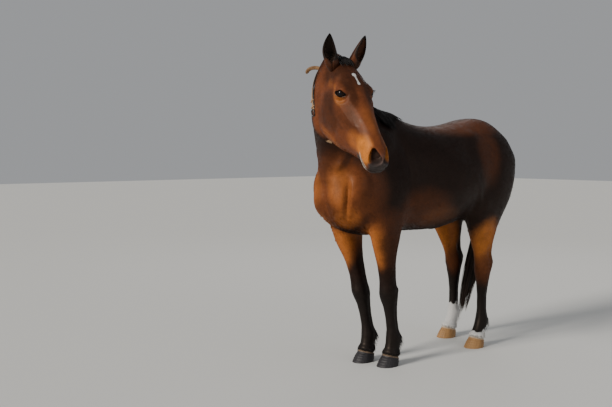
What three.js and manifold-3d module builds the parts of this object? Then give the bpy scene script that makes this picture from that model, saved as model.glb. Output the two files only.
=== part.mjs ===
// A standing bay horse, life size, that looks to its left and wears a leather neck strap.
// Millimetres, +Z up, the ground at z = 0. The body faces -Y, and the horse's left side is at +X.
// Every piece of flesh is a loft or a swelling; they are joined into one body, which thin cuts then part.
import * as THREE from "three";
import Module from "manifold-3d";
import { LoftGeometry } from "three/addons/geometries/LoftGeometry.js";
import { mergeVertices } from "three/addons/utils/BufferGeometryUtils.js";

const wasm = await Module();
wasm.setup();

// ---------- driving sizes ----------
const withersHeight = 1600;
const drawnHeight = 1600; // the height that the tables below are drawn for
const size = withersHeight / drawnHeight;
const gap = 0.35; // between two pieces that meet
const coat = 2; // clearance of what lies on the coat
const maneLift = 6; // clearance of the mane from the neck

// ---------- looks ----------
const finishes = {
  coat: { color: 0x5a2c16, roughness: 0.55, metalness: 0 },
  points: { color: 0x17120f, roughness: 0.6, metalness: 0 },
  eye: { color: 0x120a06, roughness: 0.08, metalness: 0 },
  hair: { color: 0x0f0c0b, roughness: 0.65, metalness: 0 },
  hornDark: { color: 0x3a3633, roughness: 0.55, metalness: 0 },
  hornPale: { color: 0xa98d68, roughness: 0.5, metalness: 0 },
  leather: { color: 0x8a5f38, roughness: 0.6, metalness: 0 },
  steel: { color: 0x3b3a38, roughness: 0.35, metalness: 0.9 },
  brass: { color: 0xc79a4b, roughness: 0.3, metalness: 0.9 },
};
const materials = Object.fromEntries(
  Object.entries(finishes).map(([name, look]) => [name, new THREE.MeshStandardMaterial(look)]),
);

// ---------- tools ----------

// A smooth curve through the rows of a table: rowAt(t) for t from 0 to 1 gives every column at once.
function smoothRows(rows) {
  const curves = [];
  for (let c = 0; c < rows[0].length; c += 3) {
    const points = rows.map((r) => new THREE.Vector3(r[c], r[c + 1] ?? 0, r[c + 2] ?? 0));
    curves.push(new THREE.CatmullRomCurve3(points, false, "catmullrom", 0.5));
  }
  return (t) => curves.flatMap((curve) => curve.getPoint(t).toArray());
}

// A closed outline with a fore and an aft half, each a superellipse: power 2 is an ellipse, 3 is boxy.
function superellipse(sides, halfWidth, fore, aft, forePower, aftPower, groove = 0) {
  const outline = [];
  for (let i = 0; i < sides; i++) {
    const angle = (i / sides) * 2 * Math.PI;
    const c = Math.cos(angle);
    const s = Math.sin(angle);
    const power = 2 / (c >= 0 ? forePower : aftPower);
    const reach = c >= 0 ? fore : aft;
    const dent = 1 - groove * Math.exp(-(((Math.abs(angle - Math.PI) - 0.95) / 0.4) ** 2));
    outline.push([
      halfWidth * Math.sign(s) * Math.abs(s) ** power * dent,
      reach * Math.sign(c) * Math.abs(c) ** power,
    ]);
  }
  return outline;
}

// A solid from a closed geometry, turned right side out.
function solidOf(geometry) {
  const bare = geometry.index ? geometry.toNonIndexed() : geometry.clone();
  const points = new THREE.BufferGeometry().setAttribute("position", bare.getAttribute("position"));
  const merged = mergeVertices(points, 1e-3);
  const vertProperties = new Float32Array(merged.attributes.position.array);
  const triVerts = new Uint32Array(merged.index.array);
  const made = new wasm.Manifold(new wasm.Mesh({ numProp: 3, vertProperties, triVerts }));
  if (made.volume() > 0) return made;
  for (let i = 0; i < triVerts.length; i += 3) {
    [triVerts[i + 1], triVerts[i + 2]] = [triVerts[i + 2], triVerts[i + 1]];
  }
  return new wasm.Manifold(new wasm.Mesh({ numProp: 3, vertProperties, triVerts }));
}

const join = (solids) => solids.reduce((all, next) => all.add(next));

// A solid loft through the sections that sectionAt(t) gives, which may run round either way.
function loft(sectionAt, steps) {
  const sections = [];
  for (let i = 0; i <= steps; i++) sections.push(sectionAt(i / steps));
  const total = (ring) => ring.reduce((sum, p) => sum.add(p), new THREE.Vector3());
  const middle = (ring) => total(ring).divideScalar(ring.length);
  const first = middle(sections[0]);
  const turning = new THREE.Vector3();
  sections[0].forEach((p, i, ring) => {
    const next = ring[(i + 1) % ring.length].clone().sub(first);
    turning.add(p.clone().sub(first).cross(next));
  });
  if (turning.dot(middle(sections[1]).sub(first)) < 0) sections.forEach((ring) => ring.reverse());
  return solidOf(new LoftGeometry(sections, { capStart: true, capEnd: true }));
}

// An egg-shaped swelling, such as a muscle: its middle, half sizes and turns about x, y and z in degrees.
function swelling(middle, half, turn = [0, 0, 0], detail = [9, 6]) {
  const geometry = new THREE.SphereGeometry(1, ...detail);
  const turns = new THREE.Euler(...turn.map(THREE.MathUtils.degToRad));
  const place = new THREE.Matrix4().compose(
    new THREE.Vector3(...middle),
    new THREE.Quaternion().setFromEuler(turns),
    new THREE.Vector3(...half),
  );
  return solidOf(geometry.applyMatrix4(place));
}

const mirrored = ([x, y, z]) => [-x, y, z];

// ---------- trunk: upright sections from the chest to the buttocks ----------
const trunkRows = [
  // y, top, bottom, half width, height of the widest place, top power, bottom power
  [-408, 1170, 1050, 60, 1110, 2, 2],
  [-385, 1215, 968, 122, 1110, 2, 2],
  [-320, 1290, 892, 180, 1115, 1.9, 2.2],
  [-210, 1375, 846, 214, 1120, 1.8, 2.2],
  [-70, 1500, 824, 232, 1120, 1.7, 2.1],
  [75, 1606, 828, 243, 1120, 1.6, 2.1],
  [190, 1568, 836, 264, 1130, 1.8, 2.1],
  [330, 1528, 834, 288, 1145, 2, 2.1],
  [490, 1518, 832, 303, 1155, 2.2, 2.1],
  [650, 1535, 856, 298, 1170, 2.3, 2.1],
  [790, 1562, 906, 280, 1200, 2.3, 2.1],
  [905, 1584, 970, 258, 1250, 2.2, 2],
  [1015, 1572, 1040, 232, 1290, 2.2, 2],
  [1115, 1530, 1110, 192, 1330, 2.1, 2],
  [1185, 1468, 1190, 135, 1340, 2, 2],
  [1212, 1410, 1260, 65, 1340, 2, 2],
];

const trunkDetail = { sides: 18, steps: 20 };

// The trunk, grown by `more` all round.
function trunk(more = 0) {
  const rowAt = smoothRows(trunkRows);
  return loft((t) => {
    const [y, top, bottom, halfWidth, widest, topPower, bottomPower] = rowAt(t);
    const rise = top - widest + more;
    const drop = widest - bottom + more;
    return superellipse(trunkDetail.sides, halfWidth + more, rise, drop, topPower, bottomPower).map(
      ([x, up]) => new THREE.Vector3(x, y + more * (2 * t - 1), widest + up),
    );
  }, trunkDetail.steps);
}

// ---------- legs: level sections from the shoulder or the hip to the hoof ----------
const foreRows = [
  // z, front, back, out, half width, groove behind the bone
  [1400, -70, 85, 128, 50, 0],
  [1300, -150, 130, 150, 68, 0],
  [1190, -215, 160, 162, 80, 0],
  [1090, -240, 175, 166, 83, 0],
  [1005, -205, 168, 167, 80, 0],
  [930, -185, 134, 164, 76, 0],
  [870, -164, 92, 160, 70, 0],
  [778, -140, 58, 152, 62, 0],
  [690, -117, 39, 145, 55, 0],
  [602, -99, 30, 139, 49, 0],
  [527, -90, 28, 135, 49, 0.05],
  [480, -93, 31, 133, 54, 0.05],
  [440, -94, 38, 132, 55, 0.08],
  [400, -84, 30, 131, 48, 0.12],
  [352, -73, 25, 130, 39, 0.18],
  [282, -70, 24, 130, 35, 0.2],
  [214, -71, 27, 130, 37, 0.15],
  [172, -80, 38, 130, 45, 0],
  [140, -84, 34, 130, 44, 0],
  [110, -92, 22, 130, 44, 0],
  [82, -99, 14, 130, 49, 0],
  [40, -105, -10, 130, 49, 0],
];
const hindRows = [
  [1520, 850, 1050, 95, 60, 0],
  [1450, 775, 1135, 122, 110, 0],
  [1330, 745, 1212, 142, 130, 0],
  [1200, 732, 1226, 150, 130, 0],
  [1100, 726, 1212, 156, 122, 0],
  [1020, 722, 1200, 164, 108, 0],
  [955, 736, 1162, 168, 94, 0],
  [890, 782, 1136, 164, 78, 0],
  [796, 846, 1108, 156, 62, 0],
  [705, 905, 1108, 148, 50, 0],
  [645, 942, 1124, 143, 42, 0.1],
  [602, 962, 1144, 140, 42, 0.15],
  [556, 980, 1152, 138, 47, 0.1],
  [508, 998, 1130, 137, 49, 0.05],
  [448, 1014, 1118, 136, 44, 0.12],
  [388, 1022, 1108, 135, 36, 0.22],
  [295, 1023, 1104, 134, 34, 0.22],
  [220, 1020, 1107, 134, 36, 0.15],
  [178, 1008, 1117, 134, 44, 0],
  [146, 998, 1106, 134, 43, 0],
  [114, 980, 1078, 134, 42, 0],
  [84, 961, 1071, 134, 48, 0],
  [40, 953, 1050, 134, 48, 0],
];
// The hoof's wall, from the ground up, measured from its own toe line: z, front, back, half width
const hoofRows = [
  [0, -54, 88, 61],
  [40, -31, 96, 56],
  [80, -6, 106, 50],
];

const fore = { rows: foreRows, toe: -98, low: 165, high: 960 };
const hind = { rows: hindRows, toe: 960, low: 520, high: 1250 };

// Where each leg stands: its side (1 is left), how far the whole of it is moved back, and how far its foot
// is moved out and back. The foot's move is full below `low` and fades out at `high`.
const legs = {
  foreleg_left: { ...fore, side: 1, all: -30, out: -19, back: 128 },
  foreleg_right: { ...fore, side: -1, all: -60, out: -58, back: 120 },
  hindleg_left: { ...hind, side: 1, all: 0, out: -2, back: -135 },
  hindleg_right: { ...hind, side: -1, all: 0, out: 71, back: -32 },
};
const limbDetail = { sides: 12, steps: 20, power: 2.2 };
const hoofDetail = { sides: 16, steps: 3, toePower: 2, heelPower: 2.6 };

const stance = (leg, z) => THREE.MathUtils.clamp((leg.high - z) / (leg.high - leg.low), 0, 1);

// One leg above its hoof, grown by `more` all round.
function limb(leg, more = 0) {
  const rowAt = smoothRows(leg.rows);
  return loft((t) => {
    const [z, front, back, out, halfWidth, groove] = rowAt(t);
    const share = stance(leg, z);
    const y = (front + back) / 2 + leg.all + leg.back * share;
    const x = leg.side * (out + leg.out * share);
    const half = (back - front) / 2 + more;
    const { sides, power } = limbDetail;
    return superellipse(sides, halfWidth + more, half, half, power, power, groove).map(
      ([across, along]) => new THREE.Vector3(x + across, y - along, z),
    );
  }, limbDetail.steps);
}

function hoof(leg) {
  const rowAt = smoothRows(hoofRows);
  const x = leg.side * (leg.rows.at(-1)[3] + leg.out);
  return loft((t) => {
    const [z, front, back, halfWidth] = rowAt(t);
    const y = leg.toe + leg.all + leg.back + (front + back) / 2;
    const half = (back - front) / 2;
    const { sides, toePower, heelPower } = hoofDetail;
    return superellipse(sides, halfWidth, half, half, toePower, heelPower).map(
      ([across, along]) => new THREE.Vector3(x + across, y - along, z),
    );
  }, hoofDetail.steps);
}

// ---------- neck: sections across a bent spine, from the chest to the poll ----------
const neckRows = [
  // x, y, z of the spine, turn to the left in degrees, half width, reach to the crest and to the throat,
  // crest power
  [0, 30, 1190, 0, 205, 300, 262, 1.8],
  [0, -90, 1285, 2, 195, 375, 268, 1.75],
  [2, -204, 1380, 8, 172, 320, 248, 1.65],
  [14, -310, 1488, 20, 140, 276, 218, 1.6],
  [50, -400, 1598, 33, 108, 224, 190, 1.6],
  [98, -462, 1700, 45, 93, 175, 170, 1.65],
  [168, -494, 1786, 56, 88, 140, 150, 1.8],
  [238, -510, 1845, 68, 79, 100, 134, 1.9],
];

const neckLength = 1010; // along the spine
const neckDetail = { sides: 20, steps: 14, throatPower: 2, step: 0.02 };

const leftward = (turn) => {
  const a = THREE.MathUtils.degToRad(turn);
  return new THREE.Vector3(Math.cos(a), Math.sin(a), 0);
};
const headward = (turn) => {
  const a = THREE.MathUtils.degToRad(turn);
  return new THREE.Vector3(Math.sin(a), -Math.cos(a), 0);
};

// The neck's middle, axes and sizes at t.
function neckFrame(t) {
  const rowAt = smoothRows(neckRows);
  const [x, y, z, turn, halfWidth, crest, throat, crestPower] = rowAt(t);
  const [x0, y0, z0] = rowAt(Math.max(0, t - neckDetail.step));
  const [x1, y1, z1] = rowAt(Math.min(1, t + neckDetail.step));
  const forward = new THREE.Vector3(x1 - x0, y1 - y0, z1 - z0).normalize();
  const side = leftward(turn).addScaledVector(forward, -leftward(turn).dot(forward)).normalize();
  const up = new THREE.Vector3().crossVectors(forward, side).normalize();
  if (up.z < 0) up.negate();
  return { middle: new THREE.Vector3(x, y, z), side, up, halfWidth, crest, throat, crestPower };
}

// A place on the neck's section at t, `more` off it, at an angle off the crest, left being positive.
function onNeck(t, angle, more) {
  const { middle, side, up, halfWidth, crest, throat, crestPower } = neckFrame(t);
  const c = Math.cos(angle);
  const s = Math.sin(angle);
  const power = 2 / (c >= 0 ? crestPower : neckDetail.throatPower);
  const reach = (c >= 0 ? crest : throat) + more;
  return middle
    .clone()
    .addScaledVector(side, (halfWidth + more) * Math.sign(s) * Math.abs(s) ** power)
    .addScaledVector(up, reach * Math.sign(c) * Math.abs(c) ** power);
}

// Places round the neck at evenly spaced angles from `start` up to `end`.
function angles(start, end, count) {
  return Array.from({ length: count }, (_, i) => start + ((end - start) * i) / count);
}

// The neck, grown by `more` all round.
function neck(more = 0) {
  const turns = angles(0, 2 * Math.PI, neckDetail.sides);
  return loft((t) => turns.map((angle) => onNeck(t, angle, more)), neckDetail.steps);
}

// ---------- head: drawn along its own axis, from the nape to the lips ----------
const headRows = [
  // along, top, brow out, brow height, cheek out, cheek height, jaw out, jaw height, bottom
  [-30, -45, 34, -60, 52, -105, 46, -160, -190],
  [20, -10, 46, -28, 66, -90, 60, -182, -234],
  [75, 2, 62, -20, 82, -92, 74, -222, -288],
  [135, 8, 79, -18, 97, -84, 82, -256, -335],
  [190, 10, 96, -18, 109, -74, 85, -280, -361],
  [235, 8, 92, -24, 112, -72, 84, -284, -364],
  [285, 2, 73, -28, 104, -80, 78, -276, -351],
  [345, -3, 56, -28, 89, -86, 67, -262, -332],
  [415, -8, 46, -30, 72, -88, 56, -226, -286],
  [480, -13, 43, -36, 64, -90, 50, -190, -241],
  [535, -19, 45, -42, 66, -92, 50, -163, -207],
  [580, -28, 47, -50, 70, -96, 55, -156, -188],
  [614, -42, 46, -62, 66, -106, 54, -154, -181],
  [640, -62, 38, -78, 52, -114, 44, -150, -168],
  [656, -88, 18, -98, 24, -118, 20, -138, -150],
];
const headPose = { poll: [295, -522, 1883], turn: 85, dip: 55, roll: 4.2, scale: 1.06 };

function headFrame() {
  const heading = headward(headPose.turn);
  const dip = THREE.MathUtils.degToRad(headPose.dip);
  const vertical = new THREE.Vector3(0, 0, 1);
  const along = heading.clone().multiplyScalar(Math.cos(dip)).addScaledVector(vertical, -Math.sin(dip));
  const up = heading.clone().multiplyScalar(Math.sin(dip)).addScaledVector(vertical, Math.cos(dip));
  up.applyAxisAngle(along, THREE.MathUtils.degToRad(headPose.roll));
  const side = new THREE.Vector3().crossVectors(up, along);
  [along, up, side].forEach((axis) => axis.multiplyScalar(headPose.scale));
  return { origin: new THREE.Vector3(...headPose.poll), along, up, side };
}
const head = headFrame();
// A place on the head: how far along it, out to its left, and up from the nose line.
const onHead = (along, out, up) =>
  head.origin
    .clone()
    .addScaledVector(head.along, along)
    .addScaledVector(head.side, out)
    .addScaledVector(head.up, up);

const skullDetail = { sides: 18, steps: 20 };

// The head, grown by `more` all round.
function skull(more = 0) {
  const rowAt = smoothRows(headRows);
  const { sides, steps } = skullDetail;
  return loft((t) => {
    const [along, top, browOut, brow, cheekOut, cheek, jawOut, jaw, bottom] = rowAt(t);
    const half = [
      [browOut, brow],
      [cheekOut, cheek],
      [jawOut, jaw],
    ];
    const ring = [[0, top], ...half, [0, bottom], ...half.reverse().map(([x, z]) => [-x, z])];
    const outline = new THREE.CatmullRomCurve3(
      ring.map(([x, z]) => new THREE.Vector3(x, z, 0)),
      true,
      "centripetal",
    );
    const middle = (top + bottom) / 2;
    return outline
      .getPoints(sides)
      .slice(0, sides)
      .map((p) => {
        const reach = Math.hypot(p.x, p.y - middle);
        const grow = 1 + more / reach;
        return onHead(along + more * (2 * t - 1), p.x * grow, middle + (p.y - middle) * grow);
      });
  }, steps);
}

// ---------- muscles: middle, half sizes, turns; each is mirrored to the other side ----------
const muscles = [
  [[80, -330, 1075], [88, 62, 135], [-10, 0, 0]], // breast
  [[135, -265, 1150], [88, 92, 165], [-20, 0, 0]], // point of the shoulder
  [[150, -110, 1310], [62, 120, 200], [-24, 0, 0]], // shoulder blade
  [[196, 800, 1075], [66, 100, 160], [0, 0, 0]], // stifle
];

function muscling(more = 0) {
  return muscles.flatMap(([middle, half, turn]) => {
    const grown = half.map((size) => size + more);
    return [swelling(middle, grown, turn), swelling(mirrored(middle), grown, turn)];
  });
}

// ---------- ears, eyes ----------
const earSize = { base: [20, 69, -34], length: 168, width: 40, depth: 30, wall: 6, bow: 10 };
const earSlope = { back: 0.66, rise: 0.72 };
const earCup = { from: 0.16, forward: 2.2, thinnest: 1.5, mouthPower: 2, backPower: 1.7 };
// each ear's lean outward, and which way its mouth turns off straight ahead, left being positive
const ears = {
  left: { side: 1, lean: 0.34, turn: -0.1 },
  right: { side: -1, lean: 0.2, turn: -0.3 },
};
const earRows = [
  // share of the length, share of the width, share of the depth
  [0, 0.8, 0.95],
  [0.12, 0.92, 1],
  [0.3, 1, 0.95],
  [0.5, 0.97, 0.8],
  [0.7, 0.78, 0.62],
  [0.86, 0.5, 0.45],
  [0.96, 0.24, 0.28],
  [1, 0.1, 0.14],
];
const eyeSize = { radius: 27, along: 213, out: 83, up: -45 };

// One ear: a pointed cup that opens forward and outward.
function ear({ side, lean, turn }) {
  const { length, width, depth, wall, bow } = earSize;
  const [along, out, high] = earSize.base;
  const { back, rise } = earSlope;
  const foot = onHead(along, side * out, high);
  const tip = onHead(along - back * length, side * (out + lean * length), high + rise * length);
  const up = tip.clone().sub(foot).normalize();
  const mouth = head.along.clone().addScaledVector(head.side, turn).normalize();
  mouth.addScaledVector(up, -mouth.dot(up)).normalize();
  const across = new THREE.Vector3().crossVectors(up, mouth);
  const rowAt = smoothRows(earRows);
  const { forward, thinnest, mouthPower, backPower } = earCup;
  const cup = (inner, from) =>
    loft((t) => {
      const [share, wide, deep] = rowAt(from + (1 - from) * t);
      const middle = foot.clone().addScaledVector(up, share * length);
      middle.addScaledVector(across, bow * Math.sin(Math.PI * share) * side);
      middle.addScaledVector(mouth, inner * forward);
      const halfWidth = Math.max(thinnest, wide * width - inner);
      const halfDepth = Math.max(thinnest, deep * depth);
      return superellipse(10, halfWidth, halfDepth, halfDepth, mouthPower, backPower).map(([a, b]) =>
        middle.clone().addScaledVector(across, a).addScaledVector(mouth, b),
      );
    }, 8);
  return cup(0, 0).subtract(cup(wall, earCup.from));
}

function eyeball(side, more = 0) {
  const { along, out, up, radius } = eyeSize;
  return swelling(onHead(along, side * out, up).toArray(), Array(3).fill(radius + more), [0, 0, 0], [12, 8]);
}

// ---------- hair ----------
const maneReach = { from: 0.24, to: 0.655, right: -0.3, left: 1.15, thick: 16, edge: 0.06 };
const tailRows = [
  // x, y, z of the middle, half width, half thickness
  [0, 1150, 1506, 24, 18],
  [0, 1208, 1470, 34, 24],
  [0, 1256, 1395, 44, 31],
  [-4, 1270, 1280, 54, 38],
  [-14, 1250, 1130, 60, 42],
  [-36, 1200, 980, 63, 44],
  [-56, 1148, 820, 62, 44],
  [-76, 1104, 640, 62, 42],
  [-92, 1066, 460, 58, 38],
  [-104, 1034, 300, 46, 30],
  [-110, 1014, 180, 22, 15],
];
const tailDetail = { steps: 16, step: 0.02 };
const forelockRows = [
  // along, out, up, half width, half thickness
  [-30, -2, -14, 22, 12],
  [-4, 0, 6, 40, 14],
  [24, 2, 13, 42, 12],
  [54, 4, 12, 32, 9],
  [84, 4, 10, 15, 6],
];

// The mane: a band over the crest of the neck, deeper on the left side and thin at its edges.
function mane() {
  const { from, to, right, left, thick, edge } = maneReach;
  const arc = (at, start, end, more) => angles(start, end, 7).map((angle) => onNeck(at, angle, more));
  return loft((t) => {
    const at = from + (to - from) * t;
    const swell = thick * Math.sin(Math.PI * Math.min(1, 0.12 + 0.8 * t)) ** 0.5;
    const inner = arc(at, right, left, maneLift);
    const outer = arc(at, right + edge, left - edge, maneLift + swell);
    return [...inner, ...outer.reverse()];
  }, 12);
}

function tail() {
  const rowAt = smoothRows(tailRows);
  return loft((t) => {
    const [x, y, z, halfWidth, halfThick] = rowAt(t);
    const [, y0, z0] = rowAt(Math.max(0, t - tailDetail.step));
    const [, y1, z1] = rowAt(Math.min(1, t + tailDetail.step));
    const down = new THREE.Vector3(0, y1 - y0, z1 - z0).normalize();
    const rear = new THREE.Vector3(0, -down.z, down.y);
    return superellipse(10, halfWidth, halfThick, halfThick, 2, 2).map(
      ([a, b]) => new THREE.Vector3(x + a, y + b * rear.y, z + b * rear.z),
    );
  }, tailDetail.steps);
}

function forelock() {
  const rowAt = smoothRows(forelockRows);
  return loft((t) => {
    const [along, out, up, halfWidth, halfThick] = rowAt(t);
    const outline = superellipse(10, halfWidth, halfThick, halfThick, 2, 2);
    return outline.map(([a, b]) => onHead(along, out + a, up + b));
  }, 8);
}

// ---------- the neck strap ----------
// its shares of the neck at the crest and at the throat; the right side lies `skew` nearer the head
const strapSize = { crest: 0.82, throat: 0.53, skew: 0.12, width: 36, inner: 3, outer: 8, sides: 26 };
const buckleSize = { angle: -2.35, long: 44, wide: 50, bar: 6, thick: 4, lift: 7.5 };
const tongueSize = { long: 40, wide: 5, thick: 3.2 };
const ringSize = { angle: -2.63, radius: 15, bar: 3, lift: 10 };
const endSize = { angle: -0.76, width: 24, thick: 4, tilt: 35, lift: 3 };
// the free end's path from where it leaves the strap
const endPath = [
  [0, 0, 0],
  [-22, -27, 4],
  [-42, -50, -6],
  [-54, -65, -34],
];

// A place under the strap, `more` off the neck and `shift` along it. It hangs lower at the throat.
function onStrap(angle, more, shift = 0) {
  const { crest, throat, skew } = strapSize;
  const down = (1 - Math.cos(angle)) / 2;
  const at = crest + (throat - crest - skew * Math.sin(angle)) * down + shift;
  return onNeck(at, angle, more);
}

function strap() {
  const { width, inner, outer, sides } = strapSize;
  const half = width / 2 / neckLength;
  const turns = angles(0, 2 * Math.PI, sides);
  const ring = (more, shift) => turns.map((angle) => onStrap(angle, more, shift));
  const band = (more, reach) => loft((t) => ring(more, reach * (2 * t - 1)), 2);
  return band(outer, half).subtract(band(inner, half * 2));
}

// Axes on the strap's face: x along the neck, y round it, z off it.
function strapAxes(angle, lift) {
  const place = onStrap(angle, strapSize.outer + lift);
  const off = place.clone().sub(onStrap(angle, 0)).normalize();
  const round = onStrap(angle + 0.05, strapSize.outer).sub(onStrap(angle - 0.05, strapSize.outer));
  round.addScaledVector(off, -round.dot(off)).normalize();
  const axes = new THREE.Matrix4().makeBasis(new THREE.Vector3().crossVectors(round, off), round, off);
  return axes.setPosition(place);
}

const corners = [
  [-1, -1],
  [1, -1],
  [1, 1],
  [-1, 1],
];

function buckle() {
  const { angle, long, wide, bar, thick } = buckleSize;
  const rectangle = (w, h) => corners.map(([x, y]) => new THREE.Vector2((x * w) / 2, (y * h) / 2));
  const frame = new THREE.Shape(rectangle(wide, long));
  frame.holes.push(new THREE.Path(rectangle(wide - 2 * bar, long - 2 * bar)));
  const geometry = new THREE.ExtrudeGeometry(frame, { depth: thick, bevelEnabled: false });
  return solidOf(geometry.applyMatrix4(strapAxes(angle, buckleSize.lift)));
}

function tongue() {
  const { long, wide, thick } = tongueSize;
  const geometry = new THREE.BoxGeometry(wide, long, thick);
  const lift = buckleSize.lift + buckleSize.thick + thick / 2 + gap;
  return solidOf(geometry.applyMatrix4(strapAxes(buckleSize.angle, lift)));
}

function ring() {
  const { angle, radius, bar, lift } = ringSize;
  const geometry = new THREE.TorusGeometry(radius, bar, 6, 16);
  return solidOf(geometry.applyMatrix4(strapAxes(angle, lift)));
}

function strapEnd() {
  const { angle, width, thick, lift } = endSize;
  const start = onStrap(angle, strapSize.outer + lift);
  const points = endPath.map(([x, y, z]) => new THREE.Vector3(x, y, z).add(start));
  const path = new THREE.CatmullRomCurve3(points);
  const tilt = THREE.MathUtils.degToRad(endSize.tilt);
  return loft((t) => {
    const along = path.getTangent(t);
    const face = new THREE.Vector3().crossVectors(along, new THREE.Vector3(0, 0, 1)).normalize();
    const wide = new THREE.Vector3().crossVectors(along, face);
    const across = wide.multiplyScalar(Math.cos(tilt)).addScaledVector(face, Math.sin(tilt));
    const off = new THREE.Vector3().crossVectors(along, across);
    return corners.map(([a, b]) =>
      path.getPoint(t).addScaledVector(across, (a * width) / 2).addScaledVector(off, (b * thick) / 2),
    );
  }, 8);
}

// ---------- joining and parting ----------

// A wall of constant section: place(a, b, c) puts the outline's points [a, b] at the depths c0 and c1.
function prism(outline, place, c0, c1) {
  return loft((t) => outline.map(([a, b]) => place(a, b, c0 + (c1 - c0) * t)), 1);
}

const biggest = (solid) => solid.decompose().sort((a, b) => b.volume() - a.volume())[0];

// The foreleg's zone seen from ahead, [x, z]: under the trunk and up to where the leg's outer face leaves it.
const foreZone = [
  [6, -60],
  [6, 814],
  [50, 826],
  [120, 862],
  [180, 938],
  [218, 995],
  [244, 1075],
  [420, 1130],
  [420, -60],
];
const foreReach = [-420, 150]; // along y
// The hind leg's zone, seen from behind as [x, z] and from the side as [y, z].
const hindZone = [
  [4, -60],
  [4, 1010],
  [90, 1030],
  [200, 1090],
  [420, 1200],
  [420, -60],
];
const hindSide = [
  [560, -60],
  [560, 700],
  [745, 960],
  [745, 1250],
  [1500, 1250],
  [1500, -60],
];
const hindReach = [500, 1500]; // along y
// The head's zone seen from its side, [along, up].
const headSide = [
  [900, 90],
  [900, -420],
  [190, -420],
  [150, -262],
  [-12, 0],
  [-22, 90],
];
const headReach = 190; // to each side

// The outline with each of its sides moved out by `by`; it runs clockwise.
function grown(outline, by) {
  return outline.map(([a, b], i) => {
    const [a0, b0] = outline.at(i - 1);
    const [a1, b1] = outline[(i + 1) % outline.length];
    const before = new THREE.Vector2(b - b0, a0 - a).normalize();
    const after = new THREE.Vector2(b1 - b, a - a1).normalize();
    const out = before.add(after);
    out.multiplyScalar((2 * by) / out.lengthSq());
    return [a - out.x, b - out.y];
  });
}

function legZone(name, side, by) {
  const upright = (x, z, y) => new THREE.Vector3(side * x, y, z);
  if (name.startsWith("fore")) {
    return prism(grown(foreZone, by), upright, foreReach[0] - by, foreReach[1] + by);
  }
  const behind = prism(grown(hindZone, by), upright, ...hindReach);
  const beside = prism(grown(hindSide, by), (y, z, x) => new THREE.Vector3(x, y, z), -500, 500);
  return behind.intersect(beside);
}

function headZone(by) {
  const place = (along, up, out) => onHead(along, out, up);
  return prism(grown(headSide, by), place, -headReach - by, headReach + by);
}

// A half space cut: keeps what lies above the plane through `point`, `by` away from it.
function above(solid, normal, point, by) {
  const n = normal.clone().normalize();
  return solid.trimByPlane(n.toArray(), n.dot(point) + by);
}
const below = (solid, normal, point, by) => above(solid, normal.clone().negate(), point, by);

const neckBase = { point: new THREE.Vector3(0, -440, 1225), normal: new THREE.Vector3(0, -0.8, 1) };
const coronet = { rise: 74, fall: 0.3 };

const legNames = Object.keys(legs);
let flesh = join([trunk(), neck(), skull(), ...muscling(), ...legNames.map((name) => limb(legs[name]))]);
for (const side of [1, -1]) flesh = flesh.subtract(eyeball(side, gap));

const pieces = {};
for (const name of legNames) {
  const leg = legs[name];
  const toe = new THREE.Vector3(0, leg.toe + leg.all + leg.back, coronet.rise);
  const slope = new THREE.Vector3(0, coronet.fall, 1);
  const whole = flesh.intersect(legZone(name, leg.side, 0));
  pieces[name] = biggest(above(whole, slope, toe, gap));
  pieces[`hoof_${name.replace("leg", "")}`] = below(hoof(leg), slope, toe, 0);
  flesh = flesh.subtract(legZone(name, leg.side, gap));
}
pieces.head = biggest(flesh.intersect(headZone(0)));
const body = flesh.subtract(headZone(gap));
pieces.neck = biggest(above(body, neckBase.normal, neckBase.point, gap));
pieces.trunk = biggest(below(body, neckBase.normal, neckBase.point, 0));
for (const [word, shape] of Object.entries(ears)) {
  pieces[`ear_${word}`] = biggest(ear(shape).subtract(skull(gap)).subtract(neck(gap)));
  pieces[`eye_${word}`] = eyeball(shape.side);
}
const limbs = legNames.map((name) => limb(legs[name], coat));
const around = join([trunk(coat), neck(gap), ...muscling(coat), ...limbs]);
pieces.tail = biggest(tail().subtract(around));
pieces.mane = biggest(mane().subtract(around));
pieces.forelock = biggest(forelock().subtract(skull(coat)).subtract(neck(coat)));
pieces.strap = strap();
pieces.strap_end = strapEnd();
pieces.buckle = buckle();
pieces.buckle_tongue = tongue();
pieces.ring = ring();

// ---------- the model ----------
const horse = new THREE.Group();

function addMesh(name, solid, material) {
  const mesh = solid.getMesh();
  const geometry = new THREE.BufferGeometry();
  geometry.setAttribute("position", new THREE.BufferAttribute(new Float32Array(mesh.vertProperties), 3));
  geometry.setIndex(new THREE.BufferAttribute(new Uint32Array(mesh.triVerts), 1));
  geometry.computeVertexNormals();
  const made = new THREE.Mesh(geometry, material);
  made.name = name;
  horse.add(made);
}
// What each piece is made of; a name starts with one of these words.
const made = {
  hoof_hind: "hornPale",
  hoof: "hornDark",
  eye: "eye",
  ear: "points",
  fore: "points",
  mane: "hair",
  forelock: "hair",
  tail: "hair",
  strap: "leather",
  buckle: "steel",
  ring: "brass",
};
for (const [name, solid] of Object.entries(pieces)) {
  const word = Object.keys(made).find((start) => name.startsWith(start));
  addMesh(name, solid, materials[made[word] ?? "coat"]);
}
horse.scale.setScalar(size);

// The origin is the middle of the model's box, at the ground.
const box = new THREE.Box3().setFromObject(horse);
const middle = box.getCenter(new THREE.Vector3());
horse.position.set(-middle.x, -middle.y, -box.min.z);

export default horse;
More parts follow.
